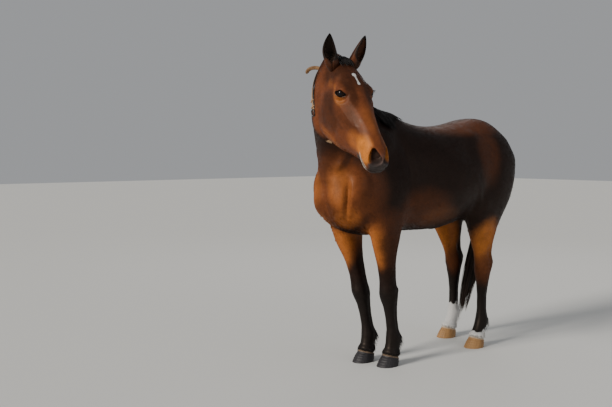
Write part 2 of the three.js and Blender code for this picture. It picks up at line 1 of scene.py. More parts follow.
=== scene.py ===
# A standing bay horse, life size: one skin over the frame's flesh, a short coat, long black hair,
# horn, wet eyes and a leather neck strap.
import math
import bmesh
import bpy
import numpy as np
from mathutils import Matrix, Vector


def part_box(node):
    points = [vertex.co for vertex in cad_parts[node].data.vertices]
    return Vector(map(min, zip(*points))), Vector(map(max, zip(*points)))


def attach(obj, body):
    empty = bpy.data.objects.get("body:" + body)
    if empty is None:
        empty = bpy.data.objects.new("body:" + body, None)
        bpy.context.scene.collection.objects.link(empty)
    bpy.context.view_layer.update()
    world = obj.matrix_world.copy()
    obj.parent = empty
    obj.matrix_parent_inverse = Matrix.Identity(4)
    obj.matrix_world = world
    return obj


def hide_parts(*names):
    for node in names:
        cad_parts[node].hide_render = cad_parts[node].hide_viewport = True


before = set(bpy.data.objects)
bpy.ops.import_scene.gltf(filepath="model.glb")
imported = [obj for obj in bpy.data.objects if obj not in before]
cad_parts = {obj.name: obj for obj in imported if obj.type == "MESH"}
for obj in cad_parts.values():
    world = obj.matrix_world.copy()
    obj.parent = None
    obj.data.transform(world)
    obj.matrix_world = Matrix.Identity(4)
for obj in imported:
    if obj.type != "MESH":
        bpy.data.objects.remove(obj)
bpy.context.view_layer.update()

import openvdb
from mathutils import Matrix, Vector

draws = np.random.default_rng(11)
sides = {"left": 1, "right": -1}


# ---- small tools ----
def unit(v):
    return v / np.maximum(np.linalg.norm(v, axis=-1, keepdims=True), 1e-12)


def squared(v, way):  # what v has at right angles to a unit way, one long
    return unit(v - way * np.sum(v * way, -1, keepdims=True))


def ramp(x, low, high):  # 0 below low, 1 above high, smooth between
    t = np.clip((x - low) / (high - low), 0, 1)
    return t * t * (3 - 2 * t)


def bell(x, middle, reach):  # 1 at the middle, fading out on both sides
    return np.exp(-(((x - middle) / reach) ** 2))


def mix(a, b, share):
    return a + (b - a) * share


def boxy(wave, power):  # a sine or cosine squared off by its power
    return np.sign(wave) * np.abs(wave) ** power


def smoothPath(points, count):  # a Catmull-Rom curve through the points, at evenly spaced shares
    points = np.asarray(points, float)
    ends = np.vstack([2 * points[0] - points[1], points, 2 * points[-1] - points[-2]])
    t = np.linspace(0, len(points) - 1, count)
    k = np.minimum(t.astype(int), len(points) - 2)
    f = (t - k)[:, None]
    p0, p1, p2, p3 = ends[k], ends[k + 1], ends[k + 2], ends[k + 3]
    return 0.5 * (2 * p1 + (p2 - p0) * f + (2 * p0 - 5 * p1 + 4 * p2 - p3) * f**2
                  + (3 * p1 - p0 - 3 * p2 + p3) * f**3)


def sampled(at, places, rows):  # a table's rows, in straight lines between their places
    return np.stack([np.interp(at, places, column) for column in rows.T], -1)


def pathAt(rows, shares, count):  # a smooth table's rows at the shares, and its middle line's direction
    smooth = smoothPath(rows, count)
    places = np.linspace(0, 1, count)
    slope = np.gradient(smooth[:, :3], axis=0)
    return sampled(shares, places, smooth), unit(sampled(shares, places, slope))


def turns(count):  # evenly round a circle, with their cosines and sines
    turn = np.linspace(0, 2 * math.pi, count, endpoint=False)
    return turn, np.cos(turn), np.sin(turn)


def newMesh(name, points, faces):  # faces: one array of equal faces, or a list of such arrays
    groups = faces if isinstance(faces, list) else [faces]
    corners = np.concatenate([g.ravel() for g in groups]).astype(np.int32)
    sizes = np.concatenate([np.full(len(g), g.shape[1]) for g in groups])
    mesh = bpy.data.meshes.new(name)
    mesh.vertices.add(len(points))
    mesh.vertices.foreach_set("co", points.astype(np.float32).ravel())
    mesh.loops.add(len(corners))
    mesh.loops.foreach_set("vertex_index", corners)
    mesh.polygons.add(len(sizes))
    mesh.polygons.foreach_set("loop_start", (np.cumsum(sizes) - sizes).astype(np.int32))
    mesh.update(calc_edges=True)
    return mesh


def paint(mesh, name, values):  # a colour or a number on each point
    values = np.asarray(values, np.float32)
    if values.ndim == 1:
        mesh.attributes.new(name, "FLOAT", "POINT").data.foreach_set("value", values)
        return
    colour = np.ones((len(values), 4), np.float32)
    colour[:, :3] = values
    mesh.attributes.new(name, "FLOAT_COLOR", "POINT").data.foreach_set("color", colour.ravel())


def bakeMap(mesh, places):
    corners = np.empty(len(mesh.loops), np.int32)
    mesh.loops.foreach_get("vertex_index", corners)
    mesh.uv_layers.new(name="OFBake").data.foreach_set("uv", places[corners].astype(np.float32).ravel())


def addPiece(mesh, material, slot, *nodes, baked=None, **painted):  # in place of the nodes, if any
    for name, values in painted.items():
        paint(mesh, name, values)
    if baked is not None:
        bakeMap(mesh, baked)
    piece = bpy.data.objects.new(mesh.name, mesh)
    bpy.context.scene.collection.objects.link(piece)
    mesh.materials.clear()
    mesh.materials.append(material)
    mesh.polygons.foreach_set("use_smooth", np.ones(len(mesh.polygons), bool))
    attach(piece, "root")
    if nodes:
        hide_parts(*nodes)


def pointsOf(mesh):
    points = np.empty(len(mesh.vertices) * 3, np.float32)
    mesh.vertices.foreach_get("co", points)
    return points.reshape(-1, 3).astype(float)


def movePoints(mesh, points):
    mesh.vertices.foreach_set("co", points.astype(np.float32).ravel())
    mesh.update()


def trianglesOf(mesh):
    mesh.calc_loop_triangles()
    triangles = np.empty(len(mesh.loop_triangles) * 3, np.int32)
    mesh.loop_triangles.foreach_get("vertices", triangles)
    return triangles.reshape(-1, 3)


def facingOut(points, groups):  # the faces, turned over if they face inwards
    places, volume = points - points.mean(0), 0.0
    for faces in groups:
        for k in range(1, faces.shape[1] - 1):
            a, b, c = (places[faces[:, n]] for n in (0, k, k + 1))
            volume += np.sum(a * np.cross(b, c))
    return points, [faces[:, ::-1] if volume < 0 else faces for faces in groups]


def loft(rings, hooped=False):  # steps x sides x 3, closed by caps, or end to end as a hoop
    steps, count = rings.shape[:2]
    i, j = np.meshgrid(np.arange(steps if hooped else steps - 1), np.arange(count), indexing="ij")
    i2, j2 = (i + 1) % steps, (j + 1) % count
    groups = [np.stack([i * count + j, i * count + j2, i2 * count + j2, i2 * count + j], -1).reshape(-1, 4)]
    if not hooped:
        groups += [np.arange(count)[::-1][None], (np.arange(count) + (steps - 1) * count)[None]]
    return facingOut(rings.reshape(-1, 3), groups)


# ---- camera, lights and floor ----
cameraLook = {"eye": (3.667, -4.099, 1.358), "turn": 50, "dip": 3.6, "lens": 50}
lightSet = {
    "key": {"kind": "SUN", "place": (0, -5.4, 3.4), "size": 0.26, "power": 4.1, "colour": (1, 0.95, 0.88)},
    "fill": {"kind": "AREA", "place": (5.5, 0.5, 2.6), "size": 4.0, "power": 50, "colour": (0.93, 0.96, 1)},
    "rim": {"kind": "AREA", "place": (-3.5, 4.0, 4.5), "size": 3.0, "power": 30, "colour": (1, 0.98, 0.96)},
}
worldLook = {"Color": (0.95, 0.97, 1.0, 1), "Strength": 0.36}
floorSet = {"half": 30.0, "paint": {"Base Color": (0.62, 0.62, 0.6, 1), "Roughness": 0.85}}


def newMaterial(name, fixed=None):  # fixed: what is the same all over the surface
    material = bpy.data.materials.new(name)
    material.use_nodes = True
    shader = material.node_tree.nodes["Principled BSDF"]
    for socket, value in (fixed or {}).items():
        shader.inputs[socket].default_value = value
    return material, material.node_tree


def onStage(name, data, place=(0, 0, 0), ahead=None):  # ahead: where its far side points
    thing = bpy.data.objects.new(name, data)
    thing.location = place
    if ahead:
        thing.rotation_euler = ahead.to_track_quat("-Z", "Y").to_euler()
    bpy.context.scene.collection.objects.link(thing)
    return thing


def makeCamera():
    turn, dip = (math.radians(cameraLook[k]) for k in ("turn", "dip"))
    data = bpy.data.cameras.new("camera")
    data.lens = cameraLook["lens"]
    ahead = Vector((-math.sin(turn) * math.cos(dip), math.cos(turn) * math.cos(dip), -math.sin(dip)))
    bpy.context.scene.camera = onStage("camera", data, cameraLook["eye"], ahead)


def makeLights():
    aim = Vector((0, -0.1, 1.0))
    for name, look in lightSet.items():
        data = bpy.data.lights.new(name, look["kind"])
        data.energy, data.color = look["power"], look["colour"]
        setattr(data, "angle" if look["kind"] == "SUN" else "size", look["size"])
        onStage(name, data, look["place"], aim - Vector(look["place"]))
    world = bpy.data.worlds.new("studio")
    bpy.context.scene.world = world
    world.use_nodes = True
    for socket, value in worldLook.items():
        world.node_tree.nodes["Background"].inputs[socket].default_value = value


def makeFloor():
    corners = floorSet["half"] * np.array([[-1, -1, 0], [1, -1, 0], [1, 1, 0], [-1, 1, 0]])
    mesh = newMesh("floor", corners, np.array([[0, 1, 2, 3]]))
    mesh.materials.append(newMaterial("floorPaint", floorSet["paint"])[0])
    onStage("floor", mesh)


makeCamera()
makeLights()
makeFloor()
print("stage: camera, lights, floor")

# ---- the frame's own axes ----
# Body places are x out from the midline (the left is positive), y back from the fore feet, z up.
trunkLow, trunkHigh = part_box("trunk")
tailEnd = 1.212  # from the fore feet back to the end of the trunk
bodyOrigin = np.array([(trunkLow.x + trunkHigh.x) / 2, trunkHigh.y - tailEnd, 0.0])

headPose = {"turn": 85, "dip": 55, "roll": 4.2, "scale": 1.06, "eye": (0.213, -0.045)}  # along, up


def headAxes():  # rows: along the face, out to the left, up from the nose line
    turn, dip, roll = (math.radians(headPose[k]) for k in ("turn", "dip", "roll"))
    heading = np.array([math.sin(turn), -math.cos(turn), 0])
    rise = np.array([0, 0, 1.0])
    along = heading * math.cos(dip) - rise * math.sin(dip)
    up = heading * math.sin(dip) + rise * math.cos(dip)
    up = up * math.cos(roll) + np.cross(along, up) * math.sin(roll)
    return np.array([along, np.cross(up, along), up])


def middleOf(node):
    return np.array(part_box(node)).mean(0)


headTurn = headAxes()
eyePlaces = {word: middleOf("eye_" + word) for word in sides}
eyeAlong, eyeUp = headPose["eye"]
betweenEyes = (eyePlaces["left"] + eyePlaces["right"]) / 2
headOrigin = betweenEyes - np.array([eyeAlong, 0, eyeUp]) * headPose["scale"] @ headTurn


def onHead(*place):  # along, out, up
    return headOrigin + headPose["scale"] * (np.stack(place, -1) @ headTurn)


def headPlace(points):  # along, out, up of each point
    return (points - headOrigin) @ headTurn.T / headPose["scale"]


def headMask(points):  # 1 on the head
    head = headPlace(points)
    away = np.linalg.norm(head - [0.3, 0, -0.13], axis=1)
    return ramp(head[:, 0], -0.04, 0.04) * (1 - ramp(away, 0.42, 0.5))


# the neck's spine from the chest to the nape: x, y, z, turn to the left, half width, crest and throat reach
neckRows = np.array([
    [0.0, 0.03, 1.19, 0, 0.205, 0.3, 0.262],
    [0.0, -0.09, 1.285, 2, 0.195, 0.375, 0.268],
    [0.002, -0.204, 1.38, 8, 0.172, 0.32, 0.248],
    [0.014, -0.31, 1.488, 20, 0.14, 0.276, 0.218],
    [0.05, -0.4, 1.598, 33, 0.108, 0.224, 0.19],
    [0.098, -0.462, 1.7, 45, 0.093, 0.175, 0.17],
    [0.168, -0.494, 1.786, 56, 0.088, 0.14, 0.15],
    [0.238, -0.51, 1.845, 68, 0.079, 0.1, 0.134],
])
neckLength = 1.01


def neckFrames(shares):  # the spine's middle, left, up and forward axes and its three reaches
    row, forward = pathAt(neckRows, shares, 400)
    turn = np.radians(row[:, 3])
    left = squared(np.stack([np.cos(turn), np.sin(turn), 0 * turn], -1), forward)
    up = np.cross(forward, left)
    up *= np.sign(up[:, 2:3])
    return row[:, :3] + bodyOrigin, left, up, forward, row[:, 4:]


# ---- the flesh as a field of distances ----
fleshNodes = ["trunk", "neck", "head", "foreleg_left", "foreleg_right", "hindleg_left", "hindleg_right"]
fieldSet = {"voxel": 0.0064, "margin": 0.05, "band": 0.066, "close": 0.001,
            "fine": 0.005, "middle": 0.013, "coarse": 0.026}
voxel = fieldSet["voxel"]


def fleshSurface():
    points, triangles, start = [], [], 0
    for name in fleshNodes:
        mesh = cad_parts[name].data
        points.append(pointsOf(mesh))
        triangles.append(trianglesOf(mesh) + start)
        start += len(points[-1])
    return np.vstack(points), np.vstack(triangles)


def levelSet(points, triangles, quads, reach):
    return openvdb.FloatGrid.createLevelSetFromPolygons(
        points.astype(np.float32), triangles, quads,
        transform=openvdb.createLinearTransform(voxel), halfWidth=reach)


def boxBlur(field, half, axis):  # the mean over 2 * half + 1 cells along an axis
    pad = [(0, 0)] * 3
    pad[axis] = (half + 1, half)
    total = np.cumsum(np.pad(field, pad, mode="edge"), axis=axis, dtype=np.float32)
    width, count = 2 * half + 1, field.shape[axis]
    return (np.take(total, np.arange(width, width + count), axis=axis)
            - np.take(total, np.arange(count), axis=axis)) / width


def blurred(field, spread):  # three box blurs each way are close to a Gaussian of that spread
    half = max(1, round(spread / voxel - 0.5))
    for _ in range(3):
        for axis in range(3):
            field = boxBlur(field, half, axis)
    return field


def fleshField():
    points, triangles = fleshSurface()
    rough = levelSet(points, triangles.astype(np.uint32), None, 3.0)
    shell, quads = rough.convertToQuads(fieldSet["close"])  # the thin cuts between the pieces are closed
    whole = levelSet(shell, None, quads, fieldSet["band"] / voxel)
    low = 2 * np.floor((points.min(0) - fieldSet["margin"]) / voxel / 2).astype(int)
    high = 2 * np.ceil((points.max(0) + fieldSet["margin"]) / voxel / 2).astype(int)
    field = np.empty(high - low, np.float32)
    whole.copyToArray(field, ijk=tuple(int(i) for i in low))
    return field + fieldSet["close"], low


def softened(field, low):  # facets go; the barrel is softened most, the legs and the head least
    axes = [(low[k] + np.arange(field.shape[k])) * voxel - (bodyOrigin[k]) for k in range(3)]
    x, y, z = np.meshgrid(*axes, indexing="ij", sparse=True)
    legs = 1 - ramp(z, 0.78, 1.02)
    head = 1 - ramp(np.sqrt((x - 0.5) ** 2 + (y + 0.53) ** 2 + (z - 1.62) ** 2), 0.3, 0.46)
    neck = ramp(-y, 0.16, 0.34) * ramp(z, 1.28, 1.42) + 0 * x
    coarse = 1 - np.maximum(np.maximum(legs, head), neck)
    fine = np.maximum(np.maximum(ramp(0.62 - z, -0.05, 0.05) + 0 * x + 0 * y, head), 0.7 * neck)
    out = mix(blurred(field, fieldSet["middle"]), blurred(field, fieldSet["coarse"]), coarse)
    return mix(out, blurred(field, fieldSet["fine"]), fine).astype(np.float32)


fleshRaw, fleshLow = fleshField()
flesh = softened(fleshRaw, fleshLow)
print("flesh field", flesh.shape)


def fieldAt(points):  # the distance out of the flesh, between the cells in straight lines
    place = np.clip(points / voxel - fleshLow, 0, np.array(flesh.shape) - 1.001)
    k = place.astype(int)
    f = place - k
    total = 0
    for step in np.ndindex(2, 2, 2):
        share = np.where(step, f, 1 - f)
        x, y, z = (k + step).T
        total = total + share[:, 0] * share[:, 1] * share[:, 2] * flesh[x, y, z]
    return total


def outward(points):  # the direction out of the flesh
    slopes = [fieldAt(points + voxel * axis) - fieldAt(points - voxel * axis) for axis in np.eye(3)]
    return unit(np.stack(slopes, -1))


def settle(points, height, rounds=3):  # moves points to a height over the flesh
    for _ in range(rounds):
        points = points + (height - fieldAt(points))[:, None] * outward(points) * 0.9
    return points


# ---- the skin ----
skinSet = {"inset": 0.002, "edges": (0.012, 0.006, 0.003, 0.0015)}


def firstSkin():  # quads twice as wide as the field's cells
    grid = openvdb.FloatGrid(fieldSet["band"])
    grid.transform = openvdb.createLinearTransform(2 * voxel)
    grid.copyFromArray(np.ascontiguousarray(flesh[::2, ::2, ::2]), ijk=tuple(int(i) // 2 for i in fleshLow))
    points, quads = grid.convertToQuads(-skinSet["inset"])
    return points.astype(float), quads.astype(np.int32)


def wantedEdge(points):  # how fine the skin is there
    _, y, z = (points - bodyOrigin).T
    along, out, up = headPlace(points).T
    onFace = (along > 0.02) & (np.abs(out) < 0.2) & (up > -0.42)
    eye = np.minimum(*(np.linalg.norm(points - place, axis=1) for place in eyePlaces.values()))
    nostril = (np.hypot(along - 0.606, up + 0.063) < 0.046) & (np.abs(out) > 0.01) & (up > -0.115)
    legs, breast = (z < 0.66) & ((y < 0.16) | (y > 0.72)), (y < -0.28) & (z < 1.18)
    zones = (legs | breast | (onFace & (up > -0.2)), onFace & ((eye < 0.054) | (along > 0.545)),
             onFace & ((eye < 0.036) | nostril))
    size = np.full(len(points), skinSet["edges"][0])
    for zone, edge in zip(zones, skinSet["edges"][1:]):
        size[zone] = edge
    return size


def refined(points, quads):
    mesh = newMesh("skin", points, quads)
    for size in skinSet["edges"][1:]:
        fine = wantedEdge(pointsOf(mesh)) <= size * 1.01
        work = bmesh.new()
        work.from_mesh(mesh)
        edges = [e for e in work.edges if fine[e.verts[0].index] and fine[e.verts[1].index]]
        bmesh.ops.subdivide_edges(work, edges=edges, cuts=1, use_grid_fill=True)
        bmesh.ops.triangulate(work, faces=[f for f in work.faces if len(f.verts) > 4])
        work.to_mesh(mesh)
        work.free()
        movePoints(mesh, settle(pointsOf(mesh), -skinSet["inset"], 2))
    return mesh


skinMesh = refined(*firstSkin())
print("skin", len(skinMesh.vertices), "points", len(skinMesh.polygons), "faces")


# ---- relief: swellings, hollows, ridges and grooves ----
# Swellings: place, half sizes, height. Lines: places, half width, height. Both go on both sides of the body.
bodySwells = [
    [(0.08, -0.4, 1.04), (0.062, 0.1, 0.1), 0.018],  # breast
    [(0.0, -0.37, 1.23), (0.15, 0.12, 0.085), 0.034],  # root of the neck
    [(0.185, -0.27, 1.12), (0.06, 0.07, 0.07), 0.01],  # point of the shoulder
    [(0.2, -0.06, 1.12), (0.08, 0.09, 0.1), 0.012],  # triceps
    [(0.17, -0.16, 1.33), (0.08, 0.06, 0.12), 0.007],  # in front of the blade's spine
    [(0.19, 0.06, 0.985), (0.05, 0.05, 0.045), 0.007],  # elbow
    [(0.155, -0.25, 0.96), (0.05, 0.07, 0.065), 0.016],  # arm muscle
    [(0.265, 0.6, 1.34), (0.09, 0.09, 0.07), -0.011],  # flank hollow
    [(0.215, 0.7, 1.46), (0.05, 0.05, 0.04), 0.01],  # hip point
    [(0.13, 0.9, 1.56), (0.09, 0.14, 0.08), 0.007],  # croup
    [(0.23, 0.8, 1.02), (0.07, 0.06, 0.07), 0.01],  # stifle
    [(0.1, 1.18, 1.4), (0.05, 0.05, 0.05), 0.01],  # buttock point
    [(0.0, 1.2, 1.33), (0.022, 0.08, 0.14), -0.016],  # under the dock
    [(0.06, 1.15, 1.15), (0.06, 0.08, 0.12), 0.006],  # inner thigh
    [(0.0, 0.6, 0.845), (0.035, 0.1, 0.05), 0.016],  # sheath
]
bodyLines = [
    [[(0, -0.42, 1.17), (0, -0.45, 1.06), (0, -0.42, 0.95), (0, -0.34, 0.865)], 0.027, -0.024],  # mid breast
    [[(0.145, -0.36, 1.2), (0.15, -0.37, 1.09), (0.13, -0.36, 0.97), (0.105, -0.32, 0.88)], 0.017, -0.022],
    [[(0.02, -0.41, 0.93), (0.06, -0.35, 0.87), (0.1, -0.26, 0.83)], 0.014, -0.02],  # folds to the forearm
    [[(0.12, -0.34, 1.42), (0.105, -0.39, 1.28), (0.075, -0.43, 1.14)], 0.02, 0.018],  # the neck's muscle
    [[(0.155, -0.32, 1.38), (0.145, -0.37, 1.25), (0.125, -0.4, 1.13)], 0.016, -0.014],  # its groove
    [[(0.13, 0.02, 1.5), (0.19, -0.11, 1.35), (0.205, -0.22, 1.2)], 0.028, 0.006],  # the blade's spine
    [[(0.16, 0.08, 1.46), (0.22, 0.09, 1.28), (0.23, 0.09, 1.12), (0.2, 0.1, 1.0)], 0.026, -0.009],
    [[(0.17, -0.3, 1.34), (0.19, -0.27, 1.24), (0.2, -0.2, 1.17)], 0.022, -0.006],  # before the shoulder
    [[(0.14, -0.02, 0.9), (0.18, 0.04, 0.94), (0.21, 0.1, 0.98)], 0.014, -0.006],  # elbow fold
    [[(0.27, 0.62, 1.22), (0.26, 0.7, 1.12), (0.24, 0.74, 1.02), (0.2, 0.74, 0.93)], 0.022, 0.007],  # flank
    [[(0.12, 1.13, 1.5), (0.19, 1.1, 1.33), (0.2, 1.05, 1.16), (0.18, 1.01, 1.0)], 0.02, -0.008],
    [[(0.21, 0.93, 1.4), (0.235, 0.91, 1.2), (0.22, 0.93, 1.02), (0.19, 0.97, 0.9)], 0.024, -0.005],
    [[(0, 0.1, 1.6), (0, 0.35, 1.54), (0, 0.6, 1.54), (0, 0.85, 1.59)], 0.012, -0.003],  # over the spine
]
headSwells = [
    [(0.205, 0.082, -0.01), (0.034, 0.018, 0.016), 0.006],  # brow
    [(0.158, 0.07, -0.02), (0.024, 0.02, 0.026), -0.0045],  # hollow over the eye
    [(0.25, 0.092, -0.085), (0.03, 0.02, 0.014), 0.004],  # cheek bone
    [(0.205, 0.085, -0.215), (0.085, 0.03, 0.08), 0.007],  # jowl
    [(0.22, 0.05, -0.35), (0.13, 0.065, 0.07), 0.026],  # the jaw's rear corner
    [(0.4, 0.045, -0.28), (0.09, 0.05, 0.04), 0.01],
    [(0.115, 0.1, -0.06), (0.026, 0.02, 0.02), 0.005],  # jaw joint
    [(0.37, 0.07, -0.05), (0.07, 0.03, 0.02), -0.003],  # beside the nose
    [(0.42, 0.06, -0.15), (0.07, 0.03, 0.04), -0.005],  # behind the mouth's corner
    [(0.54, 0.05, -0.03), (0.04, 0.02, 0.018), 0.006],  # false nostril
    [(0.612, 0.0, -0.06), (0.03, 0.03, 0.03), 0.004],  # upper lip
    [(0.61, 0.0, -0.18), (0.03, 0.03, 0.018), 0.009],  # chin
    [(0.545, 0.0, -0.2), (0.022, 0.035, 0.018), -0.007],  # chin groove
    [(0.17, 0.0, 0.01), (0.05, 0.05, 0.02), 0.003],  # forehead
]
headLines = [
    [[(0.265, 0.1, -0.078), (0.33, 0.09, -0.082), (0.405, 0.074, -0.08)], 0.009, 0.0032],  # facial crest
    [[(0.3, 0.085, -0.125), (0.325, 0.08, -0.2), (0.335, 0.07, -0.28)], 0.013, -0.005],  # front of the jowl
    [[(0.33, 0.08, -0.23), (0.36, 0.076, -0.15), (0.39, 0.07, -0.09), (0.43, 0.055, -0.05)], 0.004, 0.0024],
    [[(0.3, 0.082, -0.06), (0.38, 0.068, -0.066), (0.47, 0.06, -0.07)], 0.0055, 0.0015],  # muscle bands
    [[(0.25, 0.074, -0.02), (0.36, 0.052, -0.018), (0.47, 0.04, -0.022)], 0.011, 0.0015],  # nose bone edge
    [[(0.11, 0.05, 0.0), (0.15, 0.04, 0.006), (0.2, 0.05, 0.004)], 0.007, 0.002],
]
mouthLine = [(0.535, 0.055, -0.122), (0.575, 0.058, -0.134), (0.612, 0.052, -0.136), (0.64, 0.036, -0.13),
             (0.655, 0.015, -0.126), (0.66, 0.0, -0.125)]
lipSet = {"halfWidth": 0.0038, "depth": -0.011, "away": 0.01, "plump": 0.003, "soft": 0.004}


def mirrored(places, axis):  # both sides on the left
    places = places.copy()
    places[:, axis] = np.abs(places[:, axis])
    return places


def offLine(points, path):  # how far each point is from a path, and its share along it
    path = smoothPath(path, 6 * len(path))
    best = np.full(len(points), 1e9)
    share = np.zeros(len(points))
    for k, (a, b) in enumerate(zip(path[:-1], path[1:])):
        t = np.clip((points - a) @ (b - a) / ((b - a) @ (b - a)), 0, 1)
        away = np.linalg.norm(points - a - t[:, None] * (b - a), axis=1)
        near = away < best
        best[near] = away[near]
        share[near] = ((k + t) / (len(path) - 1))[near]
    return best, share


def relief(places, swells, lines):  # the height at each place
    out = np.zeros(len(places))
    for middle, half, height in swells:
        out += height * np.exp(-np.sum(((places - middle) / half) ** 2, 1))
    for path, width, height in lines:
        low, high = np.min(path, 0) - 3 * width, np.max(path, 0) + 3 * width
        near = np.flatnonzero(np.all((places > low) & (places < high), 1))
        away, share = offLine(places[near], path)
        fade = np.clip(np.minimum(share, 1 - share) * 5, 0, 1) ** 0.7
        out[near] += height * fade * bell(away, 0, width)
    return out


# ---- the legs' relief ----
# z, front (-1) to back (1), inside (-1) to outside (1) or both, the three reaches, height
foreSwells = [
    [0.78, -0.8, 0.5, 0.08, 0.6, 0.7, 0.009],  # forearm's extensors
    [0.8, 0.6, 0.6, 0.09, 0.5, 0.6, 0.006],  # forearm's flexors
    [0.602, -0.9, 0.0, 0.06, 0.5, 0.8, -0.002],
    [0.462, -0.9, 0.0, 0.05, 0.7, 1.1, 0.004],  # knee
    [0.503, 0.0, (0.9, -0.9), 0.016, 0.6, 0.5, 0.003],
    [0.428, 0.0, (0.9, -0.9), 0.016, 0.6, 0.5, 0.003],
    [0.484, 1.0, 0.35, 0.022, 0.4, 0.6, 0.01],  # the bone behind the knee
    [0.414, 1.0, 0.0, 0.022, 0.5, 0.8, -0.004],
    [0.31, 0.25, (1.0, -1.0), 0.085, 0.22, 0.4, -0.0045],  # between bone and tendon
]
hindSwells = [
    [0.85, -0.5, 0.9, 0.08, 0.5, 0.6, 0.008],  # gaskin
    [0.65, 0.4, (1.0, -1.0), 0.05, 0.26, 0.5, -0.011],  # before the Achilles tendon
    [0.584, 1.0, 0.0, 0.022, 0.4, 0.8, 0.006],  # point of the hock
    [0.532, -0.7, -0.8, 0.032, 0.5, 0.5, 0.004],  # hock's bones
    [0.546, -0.9, 0.3, 0.028, 0.5, 0.8, 0.003],
    [0.468, 0.0, 0.9, 0.025, 0.5, 0.5, 0.002],
    [0.325, 0.25, (1.0, -1.0), 0.09, 0.22, 0.4, -0.0045],
]
footSwells = [
    [0.174, 0.9, 0.0, 0.022, 0.5, 0.9, 0.005],  # fetlock
    [0.182, 0.0, (1.0, -1.0), 0.018, 0.5, 0.4, 0.0025],
    [0.124, 0.9, 0.0, 0.018, 0.5, 0.8, -0.006],  # hollow of the pastern
    [0.112, -0.9, 0.0, 0.018, 0.6, 0.8, -0.002],
]
coronetSwell = {"height": 0.0085, "level": 0.076, "slope": 0.014, "reach": 0.018}
limbLevels = np.arange(0.08, 1.0, 0.02)


def limbRows(node):  # middle x and y, half width and half depth at each height of a leg
    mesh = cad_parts[node].data
    points, triangles = pointsOf(mesh), trianglesOf(mesh)
    p, q = (points[corners.ravel()] for corners in (triangles, np.roll(triangles, -1, 1)))
    rows = [[0, 0, 0.04, 0.04]]
    for z in limbLevels:
        cross = (p[:, 2] - z) * (q[:, 2] - z) < 0
        t = (z - p[cross, 2]) / (q[cross, 2] - p[cross, 2])
        cut = mix(p[cross], q[cross], t[:, None])[:, :2]
        isClear = len(cut) > 3
        rows.append(np.ravel([np.ptp(cut, 0) / 2 + cut.min(0), np.ptp(cut, 0) / 2]) if isClear else rows[-1])
    return np.array(rows[1:])


limbs = {name: limbRows(name) for name in fleshNodes[3:]}


def limbPlaces(name, points):  # x inside to outside, y front to back, both in half sizes; and z
    row = sampled(points[:, 2], limbLevels, limbs[name])
    x, y = ((points[:, :2] - row[:, :2]) / row[:, 2:]).T
    return x * sides[name.split("_")[1]], y, points[:, 2]


def limbRelief(points):
    out = np.zeros(len(points))
    for name in limbs:
        x, y, z = limbPlaces(name, points)
        here = np.flatnonzero((z < 0.94) & (np.hypot(x, y) < 2.2))
        x, y, z = x[here], y[here], z[here]
        reach = np.maximum(np.hypot(x, y), 0.3)
        x, y = x / reach, y / reach
        own = foreSwells if name.startswith("fore") else hindSwells
        for level, front, across, tall, deep, wide, height in own + footSwells:
            for side in np.atleast_1d(across):
                out[here] += height * bell(z, level, tall) * bell(y, front, deep) * bell(x, side, wide)
        look = coronetSwell
        out[here] += look["height"] * bell(z, look["level"] - look["slope"] * y, look["reach"])
    return out


# ---- eyes, nostrils, mouth ----
eyeSet = {"ball": 0.0312, "lid": 0.0034, "halfWidth": 0.0335, "above": 0.0158, "below": 0.013,
          "outward": (0.4, 0.8, 0.4), "inner": (0.74, 0.0, 0.6), "behind": 0.007, "widest": 1.3}
lidFolds = [  # height, how far inside the opening and its reach, upper (1) or lower (-1) lid, from and full
    [0.0016, -0.0016, 0.002, 1, -2, -1],  # the lids' thick edge, all round
    [-0.0022, -0.0085, 0.0022, 1, 0.004, 0.01],
    [-0.0014, -0.0075, 0.002, -1, 0.003, 0.008],
]
nostrilSet = {"place": (0.606, 0.037, -0.063), "outward": (0.6, 0.72, 0.26), "long": (0.88, -0.29, -0.37),
              "halfLong": 0.047, "halfWide": 0.032, "depth": 0.042,
              "rim": 0.005, "bend": 0.01, "back": 0.014}


def localAxes(word, outwards, lengthways):  # rows: lengthways, across and upwards, outwards
    flip = np.array([1, sides[word], 1])
    out = unit(np.array(outwards) * flip) @ headTurn
    long = squared((np.array(lengthways) * flip) @ headTurn, out)
    across = np.cross(out, long)
    return np.array([long, across * np.sign(across[2]), out])


def nostrilPlace(word):
    along, out, up = nostrilSet["place"]
    return settle(onHead([along], [sides[word] * out], [up]), -skinSet["inset"])[0]


# the middle and the axes of each eye and nostril
eyeFrames = {word: (eyePlaces[word], localAxes(word, eyeSet["outward"], eyeSet["inner"])) for word in sides}
nostrilFrames = {word: (nostrilPlace(word), localAxes(word, nostrilSet["outward"], nostrilSet["long"]))
                 for word in sides}


def placesIn(middle, axes, points):
    return ((points - middle) @ axes.T).T


def almond(x, y):  # how far inside the eye's opening, in metres
    half = eyeSet["halfWidth"]
    share = np.clip(1 - (x / half) ** 2, 0, 1) ** 0.8
    inside = np.minimum(eyeSet["above"] * share - y, eyeSet["below"] * share + y)
    return np.where(np.abs(x) < half, inside, half - np.abs(x) - np.abs(y))


def dome(away, radius):  # how far out a ball is, that far from its middle line
    return radius * np.cos(np.clip(away / radius, 0, eyeSet["widest"]))


def shapeLids(points):
    radius = eyeSet["ball"]
    for middle, axes in eyeFrames.values():
        x, y, z = placesIn(middle, axes, points)
        away, inside = np.hypot(x, y), almond(x, y)
        cap = dome(away, radius + eyeSet["lid"])
        for height, place, reach, lid, start, full in lidFolds:
            cap += height * bell(inside, place, reach) * ramp(lid * y, start, full)
        share = (1 - ramp(away, 0.9 * radius, 1.9 * radius)) * (z > -0.01)
        new = mix(z, cap, share)
        new = mix(new, dome(away, radius) - eyeSet["behind"], ramp(inside, 0.0, 0.0022) * share)
        points = points + (new - z)[:, None] * axes[2]
    return points


